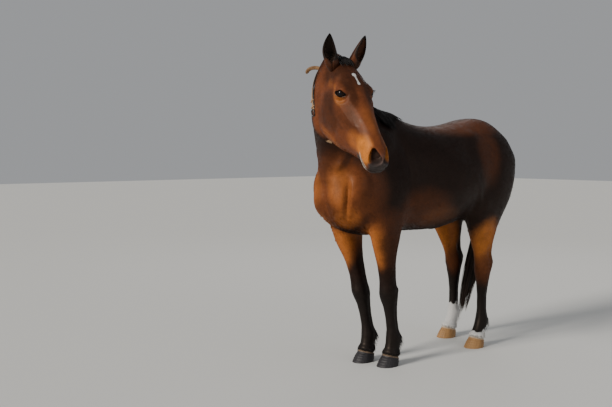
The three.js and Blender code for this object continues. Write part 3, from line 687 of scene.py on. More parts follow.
def nostrilReach(x, y):  # 1 on the nostril's edge: a comma, round and wide below, curling in above
    look = nostrilSet
    long = x / look["halfLong"]
    wide = look["halfWide"] * (1 + 0.35 * long)
    return np.sqrt(long**2 + ((y - look["bend"] * long**2 + 0.004) / np.maximum(wide, 0.005)) ** 2)


def shapeNostrils(points):
    look = nostrilSet
    for middle, axes in nostrilFrames.values():
        x, y, z = placesIn(middle, axes, points)
        near = (np.abs(z) < 0.045) & (np.hypot(x, y) < 0.09)
        reach = nostrilReach(x, y)
        hole = (1 - ramp(reach, 0.7, 1.0)) * near
        lift = look["rim"] * bell(reach, 1.18, 0.22) * near * (1 - 0.45 * (y > 0))
        points = points + (lift - look["depth"] * hole**0.8)[:, None] * axes[2]
        points = points - (look["back"] * hole)[:, None] * axes[0]
    return points


def shapeMouth(points):
    places = mirrored(headPlace(points), 1)
    near = np.flatnonzero((places[:, 0] > 0.5) & (places[:, 2] < -0.09) & (places[:, 2] > -0.17))
    away, share = offLine(places[near], mouthLine)
    look = lipSet
    height = look["depth"] * bell(away, 0, look["halfWidth"])
    height += look["plump"] * bell(away, look["away"], look["soft"])
    points[near] += (ramp(share, 0.0, 0.12) * height)[:, None] * outward(points[near])
    return points


def shapedSkin(points):
    height = relief(mirrored(points - bodyOrigin, 0), bodySwells, bodyLines)
    height += headPose["scale"] * relief(mirrored(headPlace(points), 1), headSwells, headLines)
    height += limbRelief(points)
    return shapeLids(shapeNostrils(shapeMouth(points + height[:, None] * outward(points))))


skinPoints = shapedSkin(pointsOf(skinMesh))
movePoints(skinMesh, skinPoints)
print("skin shaped")


# ---- looks ----
# The coat's colours, with painted light and shade in some of the patches: the same function colours the skin
# and each tuft.
coatLook = {
    "dark": (0.011, 0.0048, 0.0036), "bay": (0.132, 0.038, 0.012), "red": (0.134, 0.0385, 0.014),
    "brown": (0.036, 0.0115, 0.005), "tan": (0.44, 0.142, 0.022), "orange": (0.36, 0.112, 0.022),
    "black": (0.0075, 0.0062, 0.006), "grey": (0.03, 0.025, 0.0245), "pink": (0.12, 0.075, 0.065),
    "white": (0.54, 0.53, 0.515), "pale": (0.38, 0.35, 0.3),
}
# soft patches on the body: place, half sizes, colour, share; some are painted sunlight and one is a painted
# shadow
bodyPatches = [
    [(0.1, -0.4, 1.08), (0.2, 0.2, 0.24), "bay", 1.0],  # chest
    [(0.07, -0.42, 1.22), (0.1, 0.1, 0.09), "brown", 0.45],
    # the breast's lit side: the coat's own red with painted sunlight
    [(0.12, -0.42, 1.13), (0.09, 0.1, 0.13), "orange", 0.5],
    [(0.05, -0.42, 0.96), (0.06, 0.1, 0.1), "brown", 0.4],
    # low on the breast: painted light where the under-curve of the breast falls in shade
    [(0.12, -0.34, 0.93), (0.09, 0.08, 0.1), "orange", 0.6],
    [(0.22, -0.24, 1.1), (0.12, 0.12, 0.2), "bay", 0.36],  # shoulder
    [(0.16, -0.08, 0.84), (0.12, 0.16, 0.18), "bay", 0.85],  # forearm
    # the forearm's front: the coat's own orange, brightened with painted sunlight
    [(0.15, -0.14, 0.77), (0.08, 0.09, 0.18), "orange", 0.75],
    [(0.22, -0.02, 0.78), (0.07, 0.13, 0.22), "brown", 0.8],  # its outer side: painted shade
    [(0.22, 0.22, 0.98), (0.16, 0.22, 0.14), "bay", 0.42],  # behind the elbow: a warmer tone of the coat with a painted patch of sunlight
    [(0.2, 0.38, 0.93), (0.18, 0.16, 0.08), "orange", 0.13],  # side of the belly: a warmer tone with painted sunlight
    [(0.25, 0.82, 1.32), (0.09, 0.11, 0.2), "bay", 0.34],  # hip: the coat's own tone with painted sunlight
    [(0.12, 0.66, 1.53), (0.22, 0.4, 0.08), "bay", 0.5],  # croup: lighter on top, as painted light
    [(0.18, 0.88, 0.74), (0.1, 0.12, 0.17), "orange", 0.9],  # gaskin: the coat's own orange with painted sunlight
    # its lit spot: painted sunlight
    [(0.22, 0.86, 0.76), (0.07, 0.08, 0.14), "tan", 0.45],
    [(0.06, 0.86, 0.76), (0.05, 0.12, 0.18), "brown", 0.8],  # its inner side
    [(0.15, 0.92, 0.54), (0.07, 0.1, 0.13), "bay", 0.85],  # hock
    [(0.1, 1.1, 1.1), (0.1, 0.1, 0.2), "bay", 0.3],  # buttocks
    [(0.05, 0.0, 0.84), (0.08, 0.14, 0.1), "orange", 0.25],  # between the forelegs
    [(0.06, -0.6, 1.5), (0.16, 0.24, 0.2), "dark", 0.72],  # throat: painted shadow of the head
]
# soft patches on the head, in its own places; two add painted light
headPatches = [
    [(0.06, 0.05, -0.05), (0.07, 0.09, 0.09), "brown", 0.95],  # forehead
    [(0.15, 0.03, 0.0), (0.09, 0.07, 0.05), "brown", 0.85],
    [(0.19, 0.1, -0.13), (0.07, 0.05, 0.055), "brown", 0.7],  # temple
    # a painted highlight at the temple
    [(0.11, 0.1, -0.085), (0.034, 0.04, 0.022), "tan", 0.12],
    [(0.24, 0.1, -0.19), (0.11, 0.04, 0.1), "brown", 0.7],  # cheek
    [(0.35, 0.07, -0.09), (0.12, 0.032, 0.055), "brown", 0.5],
    [(0.3, 0.03, -0.01), (0.12, 0.05, 0.03), "red", 0.6],  # bridge of the nose
    # the lit bridge of the nose: the coat's own red with painted light
    [(0.43, 0.02, 0.0), (0.11, 0.045, 0.03), "orange", 0.24],
    [(0.235, 0.052, -0.006), (0.095, 0.03, 0.034), "brown", 0.85],
    [(0.228, 0.096, -0.064), (0.046, 0.04, 0.026), "tan", 0.42],  # below the eye
    [(0.168, 0.096, -0.056), (0.024, 0.03, 0.012), "tan", 0.26],
    [(0.345, 0.07, -0.3), (0.12, 0.04, 0.034), "orange", 0.35],  # edge of the jaw
    [(0.45, 0.06, -0.13), (0.06, 0.03, 0.05), "orange", 0.5],
    [(0.525, 0.062, -0.085), (0.062, 0.045, 0.06), "tan", 1.0],  # side of the muzzle
    [(0.57, 0.062, -0.1), (0.05, 0.03, 0.028), "tan", 0.95],
    [(0.54, 0.0, -0.01), (0.07, 0.04, 0.03), "bay", 0.6],
]
jawFloor = [0.02, 0.1, 0.2, 0.3, 0.42, 0.55], [-0.25, -0.33, -0.385, -0.37, -0.31, -0.26]  # along, up
starSet = {"places": [(0.131, 0.002), (0.19, 0.005)], "radii": (0.0125, 0.0095), "join": 0.0042}
blackSet = {"fore": (0.42, 0.6), "hind": (0.36, 0.56), "sock": 0.245, "coronet": 0.104}


def waver(points, size, seed):  # a smooth, wandering value from -1 to 1 with lumps of about that size
    source = np.random.default_rng(seed)
    ways = unit(source.normal(size=(7, 3))) * source.uniform(0.7, 1.6, (7, 1)) * (2 * math.pi / size)
    return np.sum(np.sin(points @ ways.T + source.uniform(0, 6.3, 7)), 1) / 3.2


def blend(base, colour, share):
    return base + (np.array(coatLook[colour]) - base) * share[:, None]


def patched(colour, places, patches, rough, edge, mask):
    for middle, half, name, share in patches:
        away = np.sqrt(np.sum(((places - middle) / half) ** 2, 1)) + 0.1 * rough
        colour = blend(colour, name, mask * share * (1 - ramp(away, edge, 1.35)))
    return colour


def eyeRim(points):  # 1 on the naked edge of the lids, and 1 along the lower lid's edge, which gets a painted reflection
    rim, lower = np.zeros((2, len(points)))
    for eyeFrame in eyeFrames.values():
        x, y, z = placesIn(*eyeFrame, points)
        near, inside = (np.hypot(x, y) < 0.04) & (z > 0), almond(x, y)
        rim = np.maximum(rim, near * ramp(inside, -0.0042, -0.0015))
        lower = np.maximum(lower, near * bell(inside, -0.0032, 0.0012) * ramp(-y, 0.004, 0.009))
    return rim, lower


def nostrilInside(points):  # 1 inside the nostrils
    out = np.zeros(len(points))
    for nostrilFrame in nostrilFrames.values():
        x, y, z = placesIn(*nostrilFrame, points)
        near = (np.abs(z) < 0.06) & (np.hypot(x, y) < 0.06)
        out = np.maximum(out, near * (1 - ramp(nostrilReach(x, y), 0.75, 1.0)))
    return out


def starShare(flat):  # above 0 on the forehead's star: two spots and the line that joins them
    reaches = [np.linalg.norm(flat - place, axis=1) / radius
               for place, radius in zip(starSet["places"], starSet["radii"])]
    return 1.5 - np.min([*reaches, offLine(flat, starSet["places"])[0] / starSet["join"]], 0)


def whiteHairs(points, z, hind):  # the white of the right hind leg's sock and the left one's coronet
    sock = blackSet["sock"] - z + 0.012 * waver(points, 0.03, 8)
    spikes = blackSet["coronet"] - z + 0.022 * bell(waver(points, 0.09, 9), 0.4, 0.5)
    return np.where(hind, 0.5 + np.where(points[:, 0] < bodyOrigin[0], sock / 0.03, spikes / 0.02), 0)


def coatColours(points):  # the coat's colour, with painted light and shade in some patches, and its shares of white hair and of naked skin
    body, head = mirrored(points - bodyOrigin, 0), headPlace(points)
    star, head = starShare(head[:, :2]), mirrored(head, 1)
    x, y, z = body.T
    along, out, up = head.T
    isHead = 1 - ramp(headPose["scale"] * np.linalg.norm(head - [0.28, 0, -0.12], axis=1), 0.42, 0.5)
    isHead = isHead * ramp(along, -0.06, 0.02) * ramp(up - np.interp(along, *jawFloor), -0.02, 0.01)
    rough = waver(points, 0.11, 3) * 0.5 + waver(points, 0.035, 4) * 0.3
    colour = np.tile(np.array(coatLook["dark"]), (len(points), 1))
    colour = blend(colour, "brown", ramp(-y, 0.22, 0.4) * ramp(z, 1.15, 1.35) * 0.95)
    colour = patched(colour, body, bodyPatches, rough, 0.55, 1)
    colour = blend(colour, "red", isHead * 0.85)
    colour = patched(colour, head, headPatches, rough, 0.5, isHead)
    colour = colour * (1 + 0.16 * rough)[:, None]
    low, high = np.where(y[:, None] < 0.35, blackSet["fore"], blackSet["hind"]).T
    colour = blend(colour, "black", (1 - ramp(z + 0.03 * rough, low, high)) * 0.97)
    muzzle = ramp(along + 0.01 * rough - 0.12 * np.maximum(0, -0.1 - up), 0.602, 0.636)
    muzzle = isHead * np.maximum(muzzle, ramp(along, 0.5, 0.53) * ramp(-up, 0.136, 0.15))
    colour = blend(colour, "grey", muzzle)
    colour = blend(colour, "pink", isHead * bell(along, 0.625, 0.022) * bell(out, 0.01, 0.02) * 0.45)
    atMouth = np.full(len(points), 1.0)
    near = np.flatnonzero((isHead > 0.5) & (along > 0.49) & (up < -0.09) & (up > -0.18))
    atMouth[near] = offLine(head[near], mouthLine)[0]
    lip = ramp(-up, 0.12, 0.132) * bell(atMouth, 0.0105, 0.005) * ramp(-along, -0.635, -0.6)
    inside, (rim, lower) = nostrilInside(points), eyeRim(points)
    ridge = bell(x, 0, 0.035) * ramp(y, 0.1, 0.2) * ramp(z, 1.3, 1.45)
    # "pale" along the lower lid's edge is a painted reflection of the wet lid
    for name, share in (("pale", lip * 0.8), ("black", (1 - ramp(atMouth, 0.0032, 0.006)) * 0.9),
                        ("pink", inside * 0.35), ("black", inside * 0.85), ("black", rim),
                        ("pale", lower * 0.55), ("black", ridge * 0.5)):
        colour = blend(colour, name, share)
    white = np.maximum(np.where((up > -0.06) & (isHead > 0.5), star, 0), whiteHairs(points, z, y > 0.7))
    naked = np.maximum(np.maximum(muzzle * 0.8, inside), rim)
    return colour, np.clip(white, 0, 1), np.clip(naked, 0, 1)


def coatMarks(points):  # what the coat's material reads at each place
    colour, white, naked = coatColours(points)
    _, y, z = (points - bodyOrigin).T
    return {"pelt": colour, "white": white, "naked": naked, "onHead": headMask(points),
            "onNeck": ramp(-y, 0.05, 0.25) * ramp(z, 1.25, 1.4), "onLeg": 1 - ramp(z, 0.8, 0.98)}


# ---- shader tools and groups ----
def addNode(tree, kind, inputs, **settings):  # inputs by name or number: a value, or what feeds it
    node = tree.nodes.new("ShaderNode" + kind)
    for key, value in settings.items():
        setattr(node, key, value)
    for key, value in inputs.items():
        socket = node.inputs[key]
        if isinstance(value, bpy.types.NodeSocket):
            tree.links.new(value, socket)
        else:
            socket.default_value = (*value, 1)[:4] if socket.type == "RGBA" else value
    return node.outputs


def attribute(tree, name, output="Fac"):
    return addNode(tree, "Attribute", {}, attribute_name=name)[output]


def noise(tree, place, scale, detail, rough=0.5):  # scale: one number, or one for each way
    if np.ndim(scale):
        place, scale = addNode(tree, "Mapping", {"Vector": place, "Scale": scale})[0], 1.0
    inputs = {"Vector": place, "Scale": scale, "Detail": detail, "Roughness": rough}
    return addNode(tree, "TexNoise", inputs)[0]


def mixed(tree, share, first, second):
    return addNode(tree, "Mix", {0: share, 6: first, 7: second}, data_type="RGBA")[2]


def mixedNumber(tree, share, first, second):
    return addNode(tree, "Mix", {0: share, 2: first, 3: second}, data_type="FLOAT")[0]


def maths(tree, operation, *values):
    return addNode(tree, "Math", dict(enumerate(values)), operation=operation)[0]


def scaled(tree, colour, factor):
    return addNode(tree, "VectorMath", {0: colour, "Scale": factor}, operation="SCALE")[0]


def ramped(tree, value, low, high, start=0.0, end=1.0):
    inputs = {"Value": value, "From Min": low, "From Max": high, "To Min": start, "To Max": end}
    return addNode(tree, "MapRange", inputs, interpolation_type="SMOOTHSTEP")[0]


def dress(tree, colour, rough=None, bump=None):  # bump: strength, depth, height
    shader = tree.nodes["Principled BSDF"]
    tree.links.new(colour, shader.inputs["Base Color"])
    if rough:
        tree.links.new(rough, shader.inputs["Roughness"])
    if bump:
        raised = addNode(tree, "Bump", dict(zip(("Strength", "Distance", "Height"), bump)))
        tree.links.new(raised[0], shader.inputs["Normal"])


def newGroup(name, vectors, numbers):  # its inputs are vectors and its outputs are numbers
    group = bpy.data.node_groups.new(name, "ShaderNodeTree")
    for label, value in vectors.items():
        socket = group.interface.new_socket(label, in_out="INPUT", socket_type="NodeSocketVector")
        socket.default_value = value
    for label in numbers:
        group.interface.new_socket(label, in_out="OUTPUT", socket_type="NodeSocketFloat")
    return group, group.nodes.new("NodeGroupInput").outputs, group.nodes.new("NodeGroupOutput").inputs


def streakGroup():  # hair streaks: noise drawn out along one axis, once turned
    vectors = {"Vector": (0, 0, 0), "Turn": (0, 0, 0), "Stretch": (300, 40, 300)}
    group, given, results = newGroup("hairStreaks", vectors, ["Height"])
    turned = addNode(group, "Mapping", {"Vector": given[0], "Rotation": given[1]})
    drawn = addNode(group, "Mapping", {"Vector": turned[0], "Scale": given[2]})
    group.links.new(noise(group, drawn[0], 1.0, 3.0, 0.6), results[0])
    return group


def coatGroup(streaks):  # the coat's fur: a height and a value, drawn out along the lie of the hair
    group, given, results = newGroup("furLie", {"Vector": (0, 0, 0)}, ["Height", "Value"])
    headEuler = Matrix([list(headTurn[k]) for k in (1, 0, 2)]).to_euler()
    lies = {"": ((0, 0, 0), (420, 60, 420)), "onHead": (tuple(headEuler), (520, 80, 520)),
            "onNeck": ((math.radians(45), 0, 0), (420, 60, 420)), "onLeg": ((0, 0, 0), (460, 460, 60))}
    value = 0
    for mask, (turn, stretch) in lies.items():
        inputs = {"Vector": given[0], "Turn": turn, "Stretch": stretch}
        height = addNode(group, "Group", inputs, node_tree=streaks)[0]
        value = mixedNumber(group, attribute(group, mask), value, height) if mask else height
    group.links.new(value, results[0])
    group.links.new(noise(group, given[0], 26.0, 4.0, 0.6), results[1])
    return group


coatShine = {"roughness": 0.43, "bump": 0.3, "depth": 0.0016}
coatSheen = {"Specular Tint": (1.0, 0.8, 0.66, 1), "Specular IOR Level": 0.17}


def coatMaterial():
    look = coatShine
    material, tree = newMaterial("bayCoat", coatSheen)
    where = addNode(tree, "TexCoord", {})["Object"]
    fur = addNode(tree, "Group", {"Vector": where}, node_tree=coatGroup(streakGroup()))
    streak, mottle = ramped(tree, fur[0], 0.3, 0.7, 0.72, 1.26), ramped(tree, fur[1], 0.3, 0.7, 0.86, 1.14)
    shaded = scaled(tree, attribute(tree, "pelt", "Color"), maths(tree, "MULTIPLY", streak, mottle))
    ragged = maths(tree, "MULTIPLY_ADD", fur[0], 0.9, attribute(tree, "white"))
    white = mixed(tree, ramped(tree, ragged, 0.8, 1.1), shaded, coatLook["white"])
    rough = ramped(tree, fur[1], 0.3, 0.7, look["roughness"] - 0.05, look["roughness"] + 0.09)
    height = mixedNumber(tree, attribute(tree, "naked"), fur[0], noise(tree, where, 420.0, 2.0))
    dress(tree, white, rough, (look["bump"], look["depth"], height))
    return material


bayCoat = coatMaterial()
print("coat colours")


# ---- eyes ----
eyeLook = {"steps": 40, "sides": 64, "pupil": (0.4, 0.21), "black": (0.003, 0.004, 0.007),
           "iris": (0.009, 0.0035, 0.0015), "rim": (0.005, 0.003, 0.003), "white": (0.03, 0.019, 0.014),
           "irisEdge": 0.7, "whiteEdge": 0.86, "pole": 0.004, "inset": 0.0003}
eyeShine = {"Roughness": 0.3, "Specular IOR Level": 0.08, "Coat Weight": 0.22, "Coat IOR": 1.35,
            "Coat Roughness": 0.03}


def eyeMaterial():
    look = eyeLook
    material, tree = newMaterial("wetEye", eyeShine)
    parts = addNode(tree, "SeparateXYZ", {"Vector": attribute(tree, "eyePlace", "Vector")})
    wide, tall = (maths(tree, "DIVIDE", part, size) for part, size in zip(parts, look["pupil"]))
    oval, flat = (addNode(tree, "CombineXYZ", {"X": x, "Y": y})[0] for x, y in ((wide, tall), parts[:2]))
    pupil, reach = (addNode(tree, "VectorMath", {0: v}, operation="LENGTH")["Value"] for v in (oval, flat))
    spokes = addNode(tree, "VectorMath", {0: flat}, operation="NORMALIZE")[0]
    bright = ramped(tree, noise(tree, spokes, 16.0, 3.0), 0.3, 0.7, 0.6, 1.5)
    shade = mixed(tree, ramped(tree, pupil, 0.85, 1.1), look["black"], scaled(tree, look["iris"], bright))
    edge = ramped(tree, reach, look["irisEdge"] - 0.1, look["irisEdge"])
    shade = mixed(tree, edge, shade, look["rim"])
    edge = ramped(tree, reach, look["whiteEdge"] - 0.04, look["whiteEdge"] + 0.03)
    dress(tree, mixed(tree, edge, shade, look["white"]))
    return material


def makeEye(word, material):
    polar = np.linspace(eyeLook["pole"], math.pi - eyeLook["pole"], eyeLook["steps"])[:, None]
    turn, c, s = turns(eyeLook["sides"])
    place = np.stack([np.sin(polar) * c, np.sin(polar) * s, np.cos(polar) + 0 * turn], -1)
    middle, axes = eyeFrames[word]
    rings = middle + (eyeSet["ball"] - eyeLook["inset"]) * place @ axes
    mesh = newMesh("eyeball_" + word, *loft(rings))
    addPiece(mesh, material, "eye", "eye_" + word, eyePlace=place.reshape(-1, 3))


wetEye = eyeMaterial()
for eyeWord in sides:
    makeEye(eyeWord, wetEye)
print("eyes")


# ---- ears ----
# each ear leans outward by its lean and turns its mouth off straight ahead, as the frame's do
earSet = {"foot": (0.02, 0.069, -0.034), "tip": (-0.66, 0.72), "length": 0.168,
          "wide": 0.0405, "deep": 0.031, "curl": 0.008,
          "wall": 0.0034, "bow": 0.01, "left": (0.34, -0.1), "right": (0.2, -0.3), "steps": 44, "sides": 30}
earRows = np.array([  # share of the length, width, depth, half the opening, how far the cup is hollow
    [-0.26, 0.4, 0.5, 0.01, 0.0],
    [-0.12, 0.84, 0.94, 0.01, 0.0],
    [0.0, 1.02, 1.12, 0.02, 0.0],
    [0.1, 0.98, 1.04, 0.22, 0.4],
    [0.22, 0.99, 0.98, 0.66, 1.0],
    [0.38, 0.98, 0.88, 0.94, 1.0],
    [0.56, 0.86, 0.72, 1.06, 1.0],
    [0.72, 0.66, 0.56, 1.1, 1.0],
    [0.86, 0.41, 0.4, 1.15, 1.0],
    [0.95, 0.2, 0.24, 1.2, 1.0],
    [1.0, 0.035, 0.06, 1.3, 1.0],
])
earInks = {"left": ("red", 0.55), "right": ("brown", 0.85)}  # the back's colour, the inside's darkness


def earAxes(word):  # the foot, then rows: across, mouth, up
    side, (lean, turn), length = sides[word], earSet[word], earSet["length"]
    along, out, up = earSet["foot"]
    back, tall = earSet["tip"]
    foot = onHead(along, side * out, up)
    rise = unit(onHead(along + back * length, side * (out + lean * length), up + tall * length) - foot)
    mouth = squared(headTurn[0] + turn * headTurn[1], rise)
    return foot, np.array([np.cross(rise, mouth), mouth, rise])


def makeEar(word):
    look = earSet
    foot, axes = earAxes(word)
    row = smoothPath(earRows, look["steps"])
    share, wide, deep, gap, hollow = (row[:, [k]] for k in range(5))
    turn = np.linspace(-1, 1, look["sides"])[None] * (math.pi - gap)
    outer = np.stack([wide * look["wide"] * np.sin(turn), -deep * look["deep"] * np.cos(turn)], -1)
    reach = np.linalg.norm(outer, axis=-1, keepdims=True)
    thick = look["wall"] * (1 - 0.35 * share)[..., None]
    inner = outer * np.maximum(1 - thick / np.maximum(reach, 1e-6), 0.06) * mix(0.5, 1.0, hollow)[..., None]
    ring = np.concatenate([outer, inner[:, ::-1]], 1)
    isInner = np.concatenate([0 * turn, 0 * turn + 1], 1).ravel()
    edge = (np.abs(np.concatenate([turn, turn[:, ::-1]], 1)) / (math.pi - gap)).ravel()
    up = np.clip(share, 0, 1)
    bow = sides[word] * look["bow"] * np.sin(math.pi * up)
    bow = np.stack([bow, look["curl"] * up**2, share * look["length"]], -1)
    local = np.concatenate([ring, np.zeros((*ring.shape[:2], 1))], -1) + bow
    points, groups = loft(foot + local @ axes)
    rough = waver(points, 0.05, 5) * 0.12
    share = np.repeat(share, ring.shape[1], 1).ravel() + rough
    back, inside = earInks[word]
    colour = np.tile(np.array(coatLook[back]), (len(points), 1))
    colour = blend(colour, "dark", ramp(share, 0.0, 0.45) * (1 - isInner) * 0.75)
    for ink in (isInner * inside, ramp(edge + rough, 0.72, 0.96) * 0.95, ramp(share, 0.7, 0.92) * 0.95):
        colour = blend(colour, "black", ink)
    colour = mix(coatColours(points)[0], colour, ramp(share, -0.04, 0.2)[:, None])
    marks = {name: np.zeros(len(points)) for name in ("white", "naked", "onNeck", "onLeg")}
    marks.update(pelt=colour, onHead=np.ones(len(points)))
    addPiece(newMesh("ear_cup_" + word, points, groups), bayCoat, "coat_bay", "ear_" + word, **marks)
    rings = points.reshape(look["steps"], -1, 3)
    return rings[:, 0], rings[:, look["sides"] - 1], axes


earRims = {word: makeEar(word) for word in sides}  # both rims and the axes of each ear
print("ears")


# ---- hooves ----
hoofSet = {"toe": 0.054, "rise": 0.074, "fall": 0.3, "steps": 40, "sides": 72,
           "toePower": 2.0, "heelPower": 2.6, "groove": 0.016, "wave": 0.0007,
           "roll": 0.003, "inset": 0.0006}
hoofRows = np.array([  # share of the height, front, back, half width
    [0.0, -0.054, 0.088, 0.061],
    [0.5, -0.03, 0.096, 0.056],
    [1.0, -0.002, 0.101, 0.0455],
])
hoofSole = [(0, 0.03, 0.008), (0, 0.016, 0.007), (0, 0.011, 0.0), (0, 0.0012, 0.0)]  # row, inset, lift
hoofTop = [(-1, 0.0045, 0.005), (-1, 0.01, 0.014)]
hornLook = {
    "dark": {"base": (0.014, 0.0135, 0.016), "stripe": (0.03, 0.027, 0.028), "top": (0.19, 0.13, 0.085)},
    "pale": {"base": (0.4, 0.22, 0.085), "stripe": (0.18, 0.09, 0.036), "top": (0.48, 0.36, 0.25)},
}


def hornMaterial(word):
    look = hornLook[word]
    material, tree = newMaterial("horn_" + word, {"Specular IOR Level": 0.25})
    wall = attribute(tree, "wall", "Vector")
    height = addNode(tree, "SeparateXYZ", {"Vector": wall})[2]
    stripes = noise(tree, wall, (9.0, 9.0, 0.35), 4.0, 0.6)
    rings = noise(tree, wall, (0.7, 0.7, 16.0), 2.0)
    grain = noise(tree, wall, (46.0, 46.0, 2.0), 2.0)
    shade = mixed(tree, ramped(tree, stripes, 0.42, 0.62), look["base"], look["stripe"])
    shade = mixed(tree, ramped(tree, height, 0.86, 0.97), shade, look["top"])
    raised = maths(tree, "MULTIPLY_ADD", rings, 1.5, grain)
    dress(tree, shade, ramped(tree, rings, 0.3, 0.7, 0.4, 0.62), (0.55, 0.0012, raised))
    return material


def makeHoof(name, word, seed):
    look = hoofSet
    low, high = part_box(name)
    toe, middle = low.y + look["toe"], (low.x + high.x) / 2
    share = np.linspace(0, 1, look["steps"])
    row = smoothPath(hoofRows, look["steps"])
    turn, c, s = turns(look["sides"])
    power = 2 / np.where(c > 0, look["toePower"], look["heelPower"])
    across, ahead = boxy(s, power), boxy(c, power)

    def ring(k, inset, lift):
        front, back, half = row[k, 1:]
        y = (front + back) / 2 - ((back - front) / 2 - inset) * ahead
        y = y - look["groove"] * bell(turn, math.pi, 0.2) * (1 - share[k]) ** 0.7
        height = share[k] * (look["rise"] - look["fall"] * y) + lift
        return np.stack([middle + (half - inset) * across, toe + y, height], -1)

    inset = look["inset"] + look["wave"] * np.sin(share * 34 + seed) * (1 - ramp(share, 0.85, 1.0))
    inset = inset - look["roll"] * bell(share, 0.93, 0.05)
    wall = [(k, inset[k], 0.0 if k else 0.0012) for k in range(look["steps"])]
    cuts = hoofSole + wall + hoofTop
    height = np.repeat([[share[k]] for k, *_ in cuts], look["sides"], 1)
    around = np.broadcast_to(np.stack([c, s], -1) * 3 + seed, (len(cuts), look["sides"], 2))
    place = np.concatenate([around, height[..., None]], -1).reshape(-1, 3)
    mesh = newMesh("horn_" + name, *loft(np.array([ring(*cut) for cut in cuts])))
    addPiece(mesh, horns[word], "horn_" + word, name, wall=place)


horns = {word: hornMaterial(word) for word in hornLook}
hoofEnds = {"fore": "dark", "hind": "pale"}
for hoofSeed, (hoofEnd, hoofSide) in enumerate((end, side) for end in hoofEnds for side in sides):
    makeHoof(f"hoof_{hoofEnd}_{hoofSide}", hoofEnds[hoofEnd], hoofSeed)
print("hooves")


# ---- the neck strap ----
strapSet = {"crest": 0.82, "throat": 0.53, "skew": 0.12, "width": 0.036, "under": 0.0032, "thick": 0.0042,
            "lining": 0.0016, "liningShows": 0.018, "liningSinks": 0.0012, "gap": 0.0003, "crown": 0.0008,
            "steps": 220, "stitch": 0.005, "thread": 0.0006, "stitchGap": 0.0085, "stitchIn": 0.0045}


def strapPlaces(turn):  # on the neck's skin under the strap, and across it
    look = strapSet
    c, s = np.cos(turn), np.sin(turn)
    at = look["crest"] + (look["throat"] - look["crest"] - look["skew"] * s) * (1 - c) / 2
    edges = []
    for shift in (-0.5, 0.5):
        middle, left, up, _, reach = neckFrames(at + shift * look["width"] / neckLength)
        tall = np.where(c > 0, reach[:, 1], reach[:, 2])
        place = middle + 1.05 * (left * (reach[:, 0] * s)[:, None] + up * (tall * c)[:, None])
        edges.append(settle(place, look["under"], 6))
    return settle((edges[0] + edges[1]) / 2, look["under"], 3), unit(edges[1] - edges[0])


def smoothHoop(values, rounds):
    for _ in range(rounds):
        values = (np.roll(values, 1, 0) + 2 * values + np.roll(values, -1, 0)) / 4
    return values


hoopPlace, hoopAcross = strapPlaces(turns(strapSet["steps"])[0])
hoopPlace = smoothHoop(hoopPlace, 6)
hoopRound = unit(np.roll(hoopPlace, -1, 0) - np.roll(hoopPlace, 1, 0))
hoopAcross = squared(unit(smoothHoop(hoopAcross, 12)), hoopRound)
hoopOff = np.cross(hoopAcross, hoopRound)
hoopOff *= np.sign(np.sum(hoopOff * outward(hoopPlace), -1, keepdims=True))
hoop = hoopPlace, hoopAcross, hoopRound, hoopOff


def hoopAt(turn):
    k = round(turn / (2 * math.pi) * strapSet["steps"]) % strapSet["steps"]
    return [values[k] for values in hoop]


bandSides = np.array([-1, -0.97, -0.5, 0, 0.5, 0.97, 1])  # over the top of a strap's cross section
bandInk = np.array([1, 0.6, 0, 0, 0, 0.6, 1, 1, 0.8, 0.3, 0.2, 0.3, 0.8, 1])  # where its edge is dark


def band(place, across, off, width, low, high):  # cross sections of a strap with eased edges
    edge, top = 0.22 * (high - low), high + strapSet["crown"]
    side = np.concatenate([bandSides, bandSides[::-1]]) * width / 2
    up = np.array([high - edge, high, top, top, top, high, high - edge, low + edge, *[low] * 5, low + edge])
    return place[:, None] + across[:, None] * side[:, None] + off[:, None] * up[:, None]


leatherLook = {  # the colour, where it is worn, and on its edges
    "tanLeather": ((0.4, 0.24, 0.12), (0.27, 0.14, 0.06), (0.05, 0.025, 0.012)),
    "blackLeather": ((0.022, 0.018, 0.016), (0.035, 0.028, 0.024), (0.012, 0.01, 0.01)),
}
threadLook = {"Base Color": (0.55, 0.45, 0.3, 1), "Roughness": 0.7}
metalLook = {  # bright, and where it is dull
    "darkSteel": ((0.1, 0.095, 0.09), (0.035, 0.03, 0.028)),
    "oldBrass": ((0.62, 0.42, 0.16), (0.3, 0.19, 0.07)),
}


def leatherMaterial(name):
    colour, worn, edge = leatherLook[name]
    material, tree = newMaterial(name)
    where = addNode(tree, "TexCoord", {})["Object"]
    wear = noise(tree, where, 38.0, 5.0, 0.65)
    grain = addNode(tree, "TexVoronoi", {"Vector": where, "Scale": 1500.0})[0]
    shade = mixed(tree, ramped(tree, wear, 0.35, 0.7), colour, worn)
    shade = mixed(tree, attribute(tree, "edge"), shade, edge)
    raised = maths(tree, "MULTIPLY_ADD", wear, 2.0, grain)
    dress(tree, shade, ramped(tree, wear, 0.3, 0.7, 0.38, 0.6), (0.35, 0.0004, raised))
    return material


def metalMaterial(name):
    material, tree = newMaterial(name, {"Metallic": 1.0})
    wear = noise(tree, addNode(tree, "TexCoord", {})["Object"], 90.0, 5.0, 0.7)
    shade = mixed(tree, ramped(tree, wear, 0.45, 0.65), *metalLook[name])
    dress(tree, shade, ramped(tree, wear, 0.35, 0.7, 0.24, 0.5))
    return material


tanLeather, blackLeather = (leatherMaterial(name) for name in leatherLook)


def addBand(name, width, low, high, material, *nodes):  # once round the neck
    mesh = newMesh(name, *loft(band(hoopPlace, hoopAcross, hoopOff, width, low, high), True))
    addPiece(mesh, material, "leather", *nodes, edge=np.tile(bandInk, strapSet["steps"]))


def makeBands():
    look = strapSet
    low, wide = look["lining"], look["width"] + look["liningShows"]
    addBand("strap_leather", look["width"], low, low + look["thick"], tanLeather, "strap")
    addBand("strap_lining", wide, -look["liningSinks"], low - look["gap"], blackLeather)


